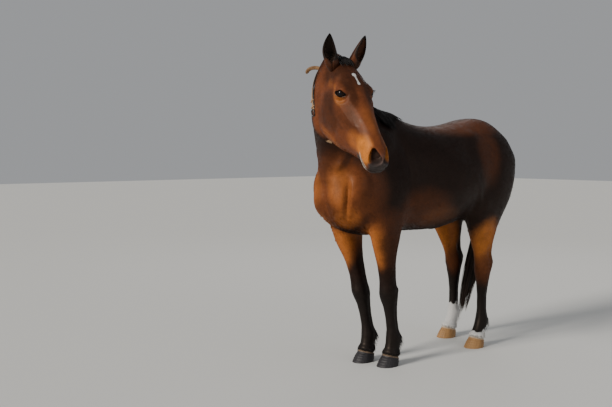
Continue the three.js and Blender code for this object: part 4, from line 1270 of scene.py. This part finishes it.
stitchCorners = np.array([[-1, -1, -1], [1, -1, -1], [1, 1, -1], [-1, 1, -1],
                          [-0.7, -1, 1], [0.7, -1, 1], [0.7, 1, 1], [-0.7, 1, 1]])
stitchFaces = np.array([[0, 3, 2, 1], [4, 5, 6, 7], [0, 1, 5, 4], [1, 2, 6, 5], [2, 3, 7, 6], [3, 0, 4, 7]])


def makeStitches():
    look = strapSet
    walk = np.concatenate([[0], np.cumsum(np.linalg.norm(np.diff(hoopPlace, axis=0), axis=1))])
    at = np.arange(0.01, walk[-1], look["stitchGap"])
    place, across, around, off = (sampled(at, walk, values) for values in hoop)
    place = place + off * (look["lining"] + look["thick"] + look["gap"])
    reach = across * (look["width"] / 2 - look["stitchIn"])
    box = stitchCorners * [look["stitch"] / 2, look["thread"], look["thread"]]
    one = box @ np.stack([around, across, off], 1)
    points = np.concatenate([(place - reach)[:, None] + one, (place + reach)[:, None] + one])
    faces = stitchFaces + 8 * np.arange(len(points))[:, None, None]
    mesh = newMesh("strap_stitches", points.reshape(-1, 3), faces.reshape(-1, 4))
    thread = newMaterial("thread", threadLook)[0]
    addPiece(mesh, thread, "leather", edge=np.zeros(len(mesh.vertices)))


def rod(path, radius, count, hooped, face, flat=1.0):  # a bar along a path, as a hoop or with caps
    slope = unit(np.roll(path, -1, 0) - np.roll(path, 1, 0) if hooped else np.gradient(path, axis=0))
    first = squared(face, slope)
    _, c, s = turns(count)
    ring = first[:, None] * (c * flat)[:, None] + np.cross(slope, first)[:, None] * s[:, None]
    return loft(path[:, None] + ring * np.broadcast_to(radius, len(path))[:, None, None], hooped)


fittingSet = {"buckle": -2.35, "ring": -2.63, "wide": 0.044, "long": 0.038, "bar": 0.003, "lift": 0.0105,
              "pinLift": 0.0034, "pinBar": 0.0022, "ringRadius": 0.0145, "ringBar": 0.0026,
              "ringLift": 0.0112}
keeperSet = {"places": {"strap_keeper": 0.19, "strap_keeper_far": 0.36}, "spare": 0.0035, "tall": 0.0046,
             "bar": 0.0042}


def makeFittings():
    look = fittingSet
    steel, brass = (metalMaterial(name) for name in metalLook)
    _, c, s = turns(72)
    c, s = c[:, None], s[:, None]
    place, across, around, off = hoopAt(look["buckle"])
    square = across * boxy(c, 0.5) * look["wide"] / 2 + around * boxy(s, 0.5) * look["long"] / 2
    bar = rod(place + off * look["lift"] + square, look["bar"], 14, True, off)
    addPiece(newMesh("buckle_frame", *bar), steel, "dark_steel", "buckle")
    t = np.linspace(-0.55, 0.5, 24)[:, None]
    lift = look["lift"] + look["pinLift"] + 0.001 * np.sin(3 * t)
    radius = look["pinBar"] * (1 - 0.35 * np.linspace(0, 1, 24) ** 2)
    bar = rod(place + off * lift + around * t * look["long"] * 1.05, radius, 12, False, off, 0.8)
    addPiece(newMesh("buckle_pin", *bar), steel, "dark_steel", "buckle_tongue")
    place, across, around, off = hoopAt(look["ring"])
    down = unit(np.cross(unit(off + 0.35 * around), across))
    circle = look["ringRadius"] * (across * c + down * s)
    bar = rod(place + off * look["ringLift"] + circle, look["ringBar"], 14, True, off)
    addPiece(newMesh("brass_ring", *bar), brass, "brass", "ring")
    half = strapSet["width"] / 2 + keeperSet["spare"]
    for name, after in keeperSet["places"].items():
        place, across, around, off = hoopAt(look["buckle"] + after)
        loop = across * boxy(c, 0.35) * half + off * boxy(s, 0.35) * keeperSet["tall"]
        bar = rod(place + off * keeperSet["bar"] + loop, keeperSet["bar"], 12, True, around)
        mesh = newMesh(name, *bar)
        addPiece(mesh, tanLeather, "leather", edge=np.zeros(len(mesh.vertices)))


endSet = {"turn": -0.76, "width": 0.024, "thick": 0.0038, "lift": 0.008, "tilt": 35, "steps": 48,
          "tip": 0.14}
endPath = np.array([[0.01, 0.014, -0.006], [0, 0, 0], [-0.022, -0.027, 0.004], [-0.042, -0.05, -0.006],
                    [-0.053, -0.063, -0.03]])


def makeStrapEnd():  # the strap's free end, sprung off the neck
    look = endSet
    place, _, _, off = hoopAt(look["turn"])
    path = smoothPath(endPath, look["steps"]) + place + off * look["lift"]
    slope = unit(np.gradient(path, axis=0))
    face = unit(np.cross(slope, [0, 0, 1.0]))
    tilt = math.radians(look["tilt"])
    wide = np.cross(slope, face) * math.cos(tilt) + face * math.sin(tilt)
    rings = band(path, wide, np.cross(slope, wide), look["width"], -look["thick"] / 2, look["thick"] / 2)
    toTip = np.clip((np.linspace(0, 1, look["steps"]) - 1 + look["tip"]) / look["tip"], 0, 0.97)
    taper = np.sqrt(np.clip(1 - toTip**2, 0.05, 1))[:, None, None]
    mesh = newMesh("strap_free_end", *loft(mix(path[:, None], rings, taper)))
    addPiece(mesh, tanLeather, "leather", "strap_end", edge=np.tile(bandInk, len(rings)) * 0.7)


makeBands()
makeStitches()
makeFittings()
makeStrapEnd()
print("strap")


# ---- hair ----
patch = 0.003  # across each lock's patch on the bake map


def atlasPlace(points):  # where each place of the hide lies on its unwrap
    x, y, z = (points - bodyOrigin).T
    along, out, up = headPlace(points).T
    column = 0.02 + 0.12 * (2 * (y > 0.45) + (x > 0))
    legMiddle = np.where(y > 0.45, 0.92, 0.02)
    zones = [  # where, from and across on the map, the angle's two sides, up from and over, the share of it
        (z == z, 0.02, 0.46, x, z - 1.15, 0.02, 0.44, (y + 0.45) / 1.75),
        ((y < -0.02) & (z > 1.22), 0.52, 0.46, x, z - 1.15, 0.02, 0.26, (z - 1.2) / 0.75),
        ((along > 0.0) & (np.abs(out) < 0.2) & (up > -0.36) & (x > -0.02),
         0.52, 0.46, out, up + 0.11, 0.32, 0.26, along / 0.7),
        (z < 0.88, column, 0.1, np.abs(x) - 0.13, y - legMiddle, 0.5, 0.46, z / 0.9),
    ]
    u = v = 0 * x
    for here, left, wide, rise, run, low, tall, share in zones:
        u = np.where(here, left + wide * (np.arctan2(rise, run) / (2 * math.pi) + 0.5), u)
        v = np.where(here, low + tall * np.clip(share, 0, 1), v)
    return np.stack([u, v], -1)


def addLocks(name, paths, faces, wide, thick, material, *nodes):  # closed tapering locks, four-sided
    count, steps = paths.shape[:2]
    slope = unit(np.gradient(paths, axis=1))
    faces = squared(faces, slope)
    side, rise = np.cross(slope, faces) * wide[..., None], faces * thick[..., None]
    points = paths[:, :, None] + np.stack([side, rise, -side, -rise], 2)
    lock, step, corner = np.meshgrid(np.arange(count), np.arange(steps - 1), np.arange(4), indexing="ij")
    first = (lock * steps + step) * 4
    a, b = first + corner, first + (corner + 1) % 4
    start = np.arange(count)[:, None] * steps * 4
    caps = np.vstack([start + [3, 2, 1, 0], start + (steps - 1) * 4 + [0, 1, 2, 3]])
    quads = np.vstack([np.stack([a, b, b + 4, a + 4], -1).reshape(-1, 4), caps])
    mesh = newMesh(name, *facingOut(points.reshape(-1, 3), [quads]))
    shares = np.linspace(0, 1, steps)[None, :, None]
    seeds = draws.random((count, 1, 1))
    offset = np.stack(np.broadcast_arrays(np.array([0, 0.5, 1, 0.5])[None, None], shares), -1)
    offset = np.broadcast_to(offset, (count, steps, 4, 2)).reshape(-1, 2)
    baked = np.repeat(atlasPlace(paths[:, 0]), steps * 4, 0) + (offset - 0.5) * patch
    long = np.linalg.norm(np.diff(paths, axis=1), axis=-1).sum(1)[:, None, None]
    over = seeds * 40 + np.array([-1, 0, 1, 0]) * wide.max()
    strand = np.stack(np.broadcast_arrays(over, long * shares, seeds), -1).reshape(-1, 3)
    addPiece(mesh, material, "hair", *nodes, baked=baked, strand=strand)


hairLook = {
    "blackHair": {"root": (0.01, 0.0085, 0.008), "tip": (0.022, 0.014, 0.01), "from": 0.35, "rough": 0.55},
    "earHair": {"root": (0.035, 0.022, 0.015), "tip": (0.1, 0.07, 0.05), "from": 0.0, "rough": 0.5},
    "whiteHair": {"root": (0.52, 0.5, 0.47), "tip": (0.58, 0.56, 0.52), "from": 0.0, "rough": 0.5},
}


def hairMaterial(name):
    look = hairLook[name]
    material, tree = newMaterial(name, {"Roughness": look["rough"], "Specular IOR Level": 0.2})
    strand = attribute(tree, "strand", "Vector")
    parts = addNode(tree, "SeparateXYZ", {"Vector": strand})
    streaks = noise(tree, strand, (900, 9, 1), 3.0, 0.7)
    colour = mixed(tree, ramped(tree, parts[1], look["from"], look["from"] + 0.5), look["root"], look["tip"])
    each = ramped(tree, parts[2], 0, 1, 0.55, 1.6)
    light = maths(tree, "MULTIPLY", ramped(tree, streaks, 0.3, 0.7, 0.6, 1.5), each)
    dress(tree, scaled(tree, colour, light), bump=(0.5, 0.0008, streaks))
    return material


blackHair, earHair, whiteHair = (hairMaterial(name) for name in hairLook)


def comb(roots, steps, length, pull, height):  # paths over the hide, pulled along and held at their heights
    here = settle(roots, height(0.0))
    paths = [here]
    for k in range(1, steps):
        t = k / (steps - 1)
        way = squared(pull(t), outward(here))
        here = settle(here + way * (length / (steps - 1))[:, None], height(t), 2)
        paths.append(here)
    return np.stack(paths, 1)


def clumped(paths, size, share):  # locks draw together toward their tips
    guide = (np.arange(len(paths)) // size) * size
    t = np.linspace(0, 1, paths.shape[1])[None, :, None]
    return mix(paths, paths[guide], share * t**1.4)


def tapered(count, steps, wide, spread=0.3, tip=0.1):  # half widths, full in the middle, fine at the tip
    t = np.linspace(0, 1, steps)[None]
    full = wide * (1 + spread * draws.uniform(-1, 1, (count, 1)))
    return full * (0.55 + 0.45 * np.sin(np.pi * np.clip(t * 1.3, 0, 0.5))) * (tip + (1 - tip) * (1 - t**2.2))


def addTapered(name, look, paths, faces, node):
    wide, thick = (tapered(*paths.shape[:2], look[size]) for size in ("wide", "thick"))
    addLocks(name, paths, faces, wide, thick, blackHair, node)


def addCombed(name, look, roots, size, pull, height, node):
    paths = clumped(comb(roots, look["steps"], size, pull, height), look["clump"], look["together"])
    addTapered(name, look, paths, outward(paths.reshape(-1, 3)).reshape(paths.shape), node)


maneSet = {"locks": 640, "steps": 15, "from": 0.13, "to": 0.84, "long": 0.25, "wide": 0.0044, "thick": 0.002,
           "clump": 7, "together": 0.72, "over": 0.04, "under": 0.002, "low": 0.005, "high": 0.02}


def makeMane():
    look = maneSet
    count = look["locks"]
    share = np.sort(draws.uniform(look["from"], look["to"], count))
    middle, left, up, ahead, reach = neckFrames(share)
    crest = middle + up * (reach[:, 1] * 1.02)[:, None] + left * draws.normal(0, 0.007, (count, 1))
    layer = draws.random(count) * ramp(share, 0.1, 0.45)
    toRight = draws.random(count) < look["over"]  # the few that fall on the far side
    lean = np.where(toRight, -0.8, 1.0)[:, None]
    size = look["long"] * draws.uniform(0.75, 1.1, count) * np.where(toRight, 0.45, 1.0)
    size *= 1 - 0.35 * ramp(share, 0.62, 0.84) - 0.62 * (1 - ramp(share, 0.16, 0.34))
    bend = draws.normal(0, 0.12, (count, 1))

    def pull(t):
        sway = bend + 0.1 * np.sin(7 * t + 40 * share)[:, None] - 0.1
        return left * lean * (1.25 - t) + np.array([0, 0, -0.35 - 1.1 * t]) + ahead * sway

    def height(t):
        return look["under"] + (look["low"] + look["high"] * layer) * math.sin(min(2.0 * t + 0.25, 1.57))

    addCombed("mane_locks", look, crest, size, pull, height, "mane")


forelockSet = {"locks": 300, "steps": 14, "long": 0.074, "wide": 0.0021, "thick": 0.0009,
               "clump": 6, "together": 0.45, "under": 0.003, "low": 0.005, "high": 0.014}


def makeForelock():
    look = forelockSet
    count = look["locks"]
    along, out = draws.uniform(-0.07, 0.014, count), draws.normal(0, 0.022, count)
    roots = onHead(along, out, -0.005 + 0 * out)
    layer = draws.random(count)
    turn = draws.normal(0, 0.16, (count, 1)) + out[:, None] * 4
    size = look["long"] * draws.uniform(0.7, 1.1, count)

    def pull(t):
        return headTurn[0] + headTurn[1] * (turn * (1 - 0.5 * t)) + np.array([0, 0, -0.35])

    def height(t):
        rise = math.sin(min(2.4 * t, 1.57)) * (1 - 0.45 * t)
        return look["under"] + (look["low"] + look["high"] * layer) * rise

    addCombed("forelock_locks", look, roots, size, pull, height, "forelock")


tailSet = {"locks": 560, "steps": 24, "wide": 0.0056, "thick": 0.0024, "full": 0.94, "clump": 6,
           "together": 0.5, "rootsTo": 0.42, "ends": (0.72, 0.86, 1.0), "endShares": (0.2, 0.3, 0.5),
           "core": 0.62, "coreEnd": 0.9, "coreSteps": 60, "coreSides": 20,
           "coreTip": (0.1, 0.35, 0.65, 0.95)}
tailRows = np.array([  # x, y, z of the middle, half width, half thickness
    [0.0, 1.15, 1.506, 0.022, 0.017],
    [0.0, 1.208, 1.47, 0.034, 0.024],
    [0.0, 1.256, 1.395, 0.044, 0.031],
    [-0.004, 1.27, 1.28, 0.054, 0.038],
    [-0.014, 1.25, 1.13, 0.06, 0.042],
    [-0.036, 1.2, 0.98, 0.063, 0.044],
    [-0.056, 1.148, 0.82, 0.062, 0.044],
    [-0.076, 1.104, 0.64, 0.066, 0.044],
    [-0.094, 1.066, 0.46, 0.068, 0.042],
    [-0.11, 1.034, 0.3, 0.062, 0.036],
    [-0.12, 1.014, 0.18, 0.044, 0.026],
])


def tailAt(shares):  # middle, half width, half thickness, side and back directions
    row, slope = pathAt(tailRows, shares, 300)
    side = unit(np.cross(slope, [0.0, 1.0, 0.15]))
    return row[..., :3] + bodyOrigin, row[..., 3], row[..., 4], side, np.cross(side, slope)


def makeTailLocks():
    look = tailSet
    count = look["locks"]
    start = look["rootsTo"] * draws.random(count) ** 1.3
    end = draws.choice(look["ends"], count, p=look["endShares"]) + draws.uniform(-0.08, 0.0, count)
    t = np.linspace(0, 1, look["steps"])[None]
    middle, wide, thick, side, back = tailAt(start[:, None] + (end - start)[:, None] * t)
    turn = draws.uniform(0, 2 * math.pi, (count, 1)) + draws.normal(0, 0.35, (count, 1)) * t
    reach = look["full"] * np.sqrt(draws.uniform(0.25, 1.0, (count, 1)))
    reach = reach * (0.55 + 0.45 * ramp(t, 0, 0.25)) * (1 - 0.25 * ramp(t, 0.7, 1))
    reach = reach + 0.05 * np.sin(9 * t + turn * 3)
    across, deep = wide * reach * np.cos(turn), thick * reach * np.sin(turn)
    paths = middle + side * across[..., None] + back * deep[..., None]
    order = np.argsort(turn[:, 0] + 0.2 * reach[:, -1])
    paths = clumped(paths[order], look["clump"], look["together"])
    addTapered("tail_locks", look, paths, paths - middle[order], "tail")


def makeTailCore():
    look = tailSet
    middle, wide, thick, side, back = tailAt(np.linspace(0, look["coreEnd"], look["coreSteps"]))
    _, c, s = turns(look["coreSides"])
    across, deep = (side * wide[:, None])[:, None], (back * thick[:, None])[:, None]
    core = middle[:, None] + look["core"] * (across * c[:, None] + deep * s[:, None])
    core[-4:] = mix(core[-4:], middle[-4:, None], np.array(look["coreTip"])[:, None, None])
    points, groups = loft(core)
    x, z = points[:, 0], points[:, 2]
    baked = [0.75, 0.8] + (points[:, [0, 2]] - points[:, [0, 2]].mean(0)) * patch
    strand = np.stack([x * 3, z, 0 * x + 0.3], -1)
    addPiece(newMesh("tail_core", points, groups), blackHair, "hair", baked=baked, strand=strand)


makeMane()
makeForelock()
makeTailLocks()
makeTailCore()
print("long hair")


# ---- the short coat ----
# Tufts lie flat along the hair's way: thin closed slivers, smallest on the face and the feet.
# a tuft's sizes: the full size, its least and most share, how much smaller where the coat is fine
tuftSet = {"long": (0.015, 0.7, 1.25, 0.62), "wide": (0.00115, 0.7, 1.25, 0.45),
           "rise": (0.0005, 0.6, 1.4, 0.4), "perPiece": 46000, "shade": 0.15, "sink": 0.0004, "tilt": 0.1}
tuftFaces = np.array([[0, 1, 2], [0, 2, 3], [1, 3, 2], [0, 3, 1]])
tuftCorners = np.array([[0, 0], [1, 0], [0.5, 0.5], [0.5, 1]]) - 0.5  # on its patch of the bake map
fringeSet = {"count": 5000, "longer": 1.7, "raised": 7.0}


def lieOf(points):  # the way the hair lies at each place of the hide
    x, y, z = (points - bodyOrigin).T
    _, _, up, ahead, _ = neckFrames(np.clip((z - 1.2) / 0.7, 0, 1))
    _, out, _ = headPlace(points).T
    spread = np.sign(out) * 0.35 * ramp(np.abs(out), 0.0, 0.05)
    face = headTurn[0] + headTurn[1] * spread[:, None] - 0.3 * headTurn[2]
    chest = np.stack([np.sign(x) * 0.35, 0.25 + 0 * x, -0.9 + 0 * x], -1)
    way = np.array([0, 0.75, -0.55])  # back and down over the barrel
    for other, share in ((chest, ramp(-y, 0.22, 0.36) * (1 - ramp(z, 1.25, 1.42))),
                         (-ahead * 0.8 - up * 0.55, ramp(-y, 0.1, 0.28) * ramp(z, 1.25, 1.42)),
                         (np.array([0, 0.12, -1.0]), 1 - ramp(z, 0.72, 0.95)), (face, headMask(points))):
        way = mix(way, other, share[:, None])
    swirl = waver(points, 0.25, 12)[:, None] * 0.1 + draws.normal(0, 0.13, (len(points), 1))
    return unit(way) + swirl * np.cross(unit(way), outward(points))


def rootsOn(points, triangles, density, count):  # random roots with their normals, by area and density
    corner = points[triangles]
    cross = np.cross(corner[:, 1] - corner[:, 0], corner[:, 2] - corner[:, 0])
    weight = np.linalg.norm(cross, axis=1) * density[triangles].mean(1)
    pick = draws.choice(len(triangles), count, p=weight / weight.sum())
    a, b = draws.random((2, count, 1))
    a, b = np.where(a + b > 1, 1 - a, a), np.where(a + b > 1, 1 - b, b)
    return corner[pick, 0] * (1 - a - b) + corner[pick, 1] * a + corner[pick, 2] * b, unit(cross[pick])


def variedSize(name, fine):
    size, least, most, less = tuftSet[name]
    return size * draws.uniform(least, most, len(fine)) * (1 - less * fine)


def addTufts(name, density, count, longer=1.0, raised=1.0):
    roots, normal = rootsOn(skinPoints, skinTriangles, density, count)
    colour, white, _ = coatColours(roots)
    fine = np.maximum(headMask(roots), 1 - ramp(roots[:, 2] - bodyOrigin[2], 0.25, 0.6))
    long, wide, rise = (variedSize(size, fine)[:, None] for size in ("long", "wide", "rise"))
    way = squared(lieOf(roots), normal)
    side, sink = np.cross(normal, way) * wide, normal * tuftSet["sink"]
    back, lift = way * long * longer, normal * rise * raised
    points = np.stack([roots + side - sink, roots - side - sink, roots + 0.5 * back + lift * 1.4,
                       roots + back + lift], 1).reshape(-1, 3)
    faces = np.arange(count)[:, None, None] * 4 + tuftFaces
    mesh = newMesh(name, *facingOut(points, [faces.reshape(-1, 3)]))
    each = 1 + tuftSet["shade"] * draws.normal(0, 1, (count, 1)).clip(-2, 2)
    baked = (atlasPlace(roots)[:, None] + tuftCorners * patch).reshape(-1, 2)
    marks = {"pelt": np.repeat(colour * each, 4, 0), "white": np.repeat(white, 4)}
    addPiece(mesh, tuftCoat, "coat_bay", baked=baked, **marks)
    tilt = unit(normal + tuftSet["tilt"] * draws.normal(0, 1, (count, 3)))
    mesh.normals_split_custom_set_from_vertices(np.repeat(tilt, 4, 0).astype(np.float32))


def tuftMaterial():
    material, tree = newMaterial("tuftCoat", {**coatSheen, "Roughness": coatShine["roughness"] + 0.02})
    share = ramped(tree, attribute(tree, "white"), 0.35, 0.65)
    dress(tree, mixed(tree, share, attribute(tree, "pelt", "Color"), coatLook["white"]))
    return material


tuftCoat = tuftMaterial()
skinTriangles = trianglesOf(skinMesh)
skinMarks = coatMarks(skinPoints)
skinNaked, isOnHead = skinMarks["naked"], skinMarks["onHead"] >= 0.5
_, skinBack, skinHeight = (skinPoints - bodyOrigin).T
tuftZones = {
    "coat_trunk": (skinHeight > 0.8) & (skinBack > 0.02),
    "coat_front": (skinHeight > 0.8) & (skinBack <= 0.02) & ~isOnHead,
    "coat_head": isOnHead,
    "coat_legs": (skinHeight <= 0.8) & ~isOnHead,
}
for zoneName, zone in tuftZones.items():
    addTufts(zoneName, np.where(zone, 1 - np.clip(skinNaked * 1.3, 0, 1), 0), tuftSet["perPiece"])
underSide = np.clip(-outward(skinPoints)[:, 2], 0, 1) ** 3
fringe = np.where((skinHeight > 0.75) & (skinNaked < 0.2), underSide, 0)
addTufts("coat_fringe", fringe, **fringeSet)
print("coat")


# ---- wisps: whiskers, lashes, the ears' hair, feather and the coronets' fringe ----
wispSet = {
    "whiskers": {"count": 110, "long": (0.012, 0.036), "wide": 0.00035, "drop": 0.35, "hair": blackHair},
    "lashes": {"count": 46, "long": (0.009, 0.016), "wide": 0.00045, "drop": 0.35, "hair": blackHair},
    "ear_hair": {"count": 130, "long": (0.01, 0.026), "wide": 0.0006, "drop": 0.15, "hair": earHair},
    "feather_black": {"wide": 0.001, "drop": 0.15, "hair": blackHair},
    "feather_white": {"wide": 0.001, "drop": 0.15, "hair": whiteHair},
}
# each row: from and to which height, how far back at least, how many, how far off the skin, the way,
# the lengths, and the legs where they are white
featherSet = [
    (0.115, 0.195, 0.45, 150, 0.45, [0, 0.1, -1.0], (0.016, 0.036), ["hindleg_right"]),
    (0.08, 0.106, -9.0, 420, 0.3, [0, 0, -1.0], (0.012, 0.022), ["hindleg_left", "hindleg_right"]),
]


def addWisps(name, roots, ways, long=None, steps=6):  # roots and ways: one array for each side or leg
    look = wispSet[name]
    roots, ways = np.vstack(roots), np.vstack(ways)
    long = draws.uniform(*look["long"], len(roots)) if long is None else np.concatenate(long)
    t, long = np.linspace(0, 1, steps)[None, :, None], long[:, None, None]
    paths = roots[:, None] + ways[:, None] * long * t + np.array([0, 0, -look["drop"]]) * long * t**2
    faces = np.broadcast_to(unit(draws.normal(0, 1, (len(roots), 1, 3))), paths.shape)
    fine = look["wide"] * (1 - 0.85 * t[..., 0]) * np.ones((len(roots), 1))
    addLocks(name, paths, faces, fine, fine * 0.6, look["hair"])


def scattered(mask, count):
    return rootsOn(skinPoints, skinTriangles, mask.astype(float), count)


def makeWhiskers():
    along, _, up = headPlace(skinPoints).T
    chin = (along > 0.56) & (up < -0.1)
    lips = (along > 0.6) & (up < -0.03) & (skinNaked < 0.9)
    roots, normal = scattered(isOnHead & (chin | lips), wispSet["whiskers"]["count"])
    ways = unit(normal + 0.35 * headTurn[0] + 0.25 * draws.normal(0, 1, normal.shape))
    addWisps("whiskers", [roots], [ways])


def makeLashes():
    count, half = wispSet["lashes"]["count"], eyeSet["halfWidth"]
    radius = eyeSet["ball"] + eyeSet["lid"] + 0.0004
    roots, ways = [], []
    for middle, axes in eyeFrames.values():
        x = draws.uniform(-0.8, 0.85, count) * half
        y = eyeSet["above"] * (1 - (x / half) ** 2) ** 0.8 + 0.0012
        z = np.sqrt(np.maximum(radius**2 - x**2 - y**2, 0.0001))
        fan = np.stack([x * 12, 0.15 + 0 * x, 1 + 0 * x], -1) + draws.normal(0, 0.12, (count, 3))
        roots.append(middle + np.stack([x, y, z], -1) @ axes)
        ways.append(unit(fan @ axes))
    addWisps("lashes", roots, ways)


def makeEarHair():
    count = wispSet["ear_hair"]["count"]
    roots, ways = [], []
    for first, second, (_, mouth, rise) in earRims.values():
        step = draws.integers(5, int(0.62 * len(first)), count)
        near = draws.random((count, 1)) < 0.5
        root, far = np.where(near, first[step], second[step]), np.where(near, second[step], first[step])
        across = unit(far - root)
        roots.append(root + across * 0.002 - mouth * draws.uniform(0.0, 0.016, (count, 1)))
        ways.append(unit(across * 0.7 + mouth * 0.35 + rise * 0.9 + draws.normal(0, 0.18, (count, 3))))
    addWisps("ear_hair", roots, ways)


def makeFeather(word):
    parts = []
    for limb in limbs:
        x, y, z = limbPlaces(limb, skinPoints)
        for low, high, back, count, off, way, lengths, whites in featherSet:
            here = (np.hypot(x, y) < 2.0) & (y > back) & (z > low) & (z < high)
            isOwn = word == ("white" if limb in whites else "black")
            roots, normal = scattered(here, count if isOwn else 0)
            ways = unit(off * normal + np.array(way) + draws.normal(0, 0.1, roots.shape))
            parts.append((roots, ways, draws.uniform(*lengths, len(roots))))
    addWisps("feather_" + word, *zip(*parts))


makeWhiskers()
makeLashes()
makeEarHair()
for featherWord in ("black", "white"):
    makeFeather(featherWord)
print("wisps")

# ---- the skin, in place of the flesh ----
addPiece(skinMesh, bayCoat, "coat_bay", *fleshNodes, **skinMarks)
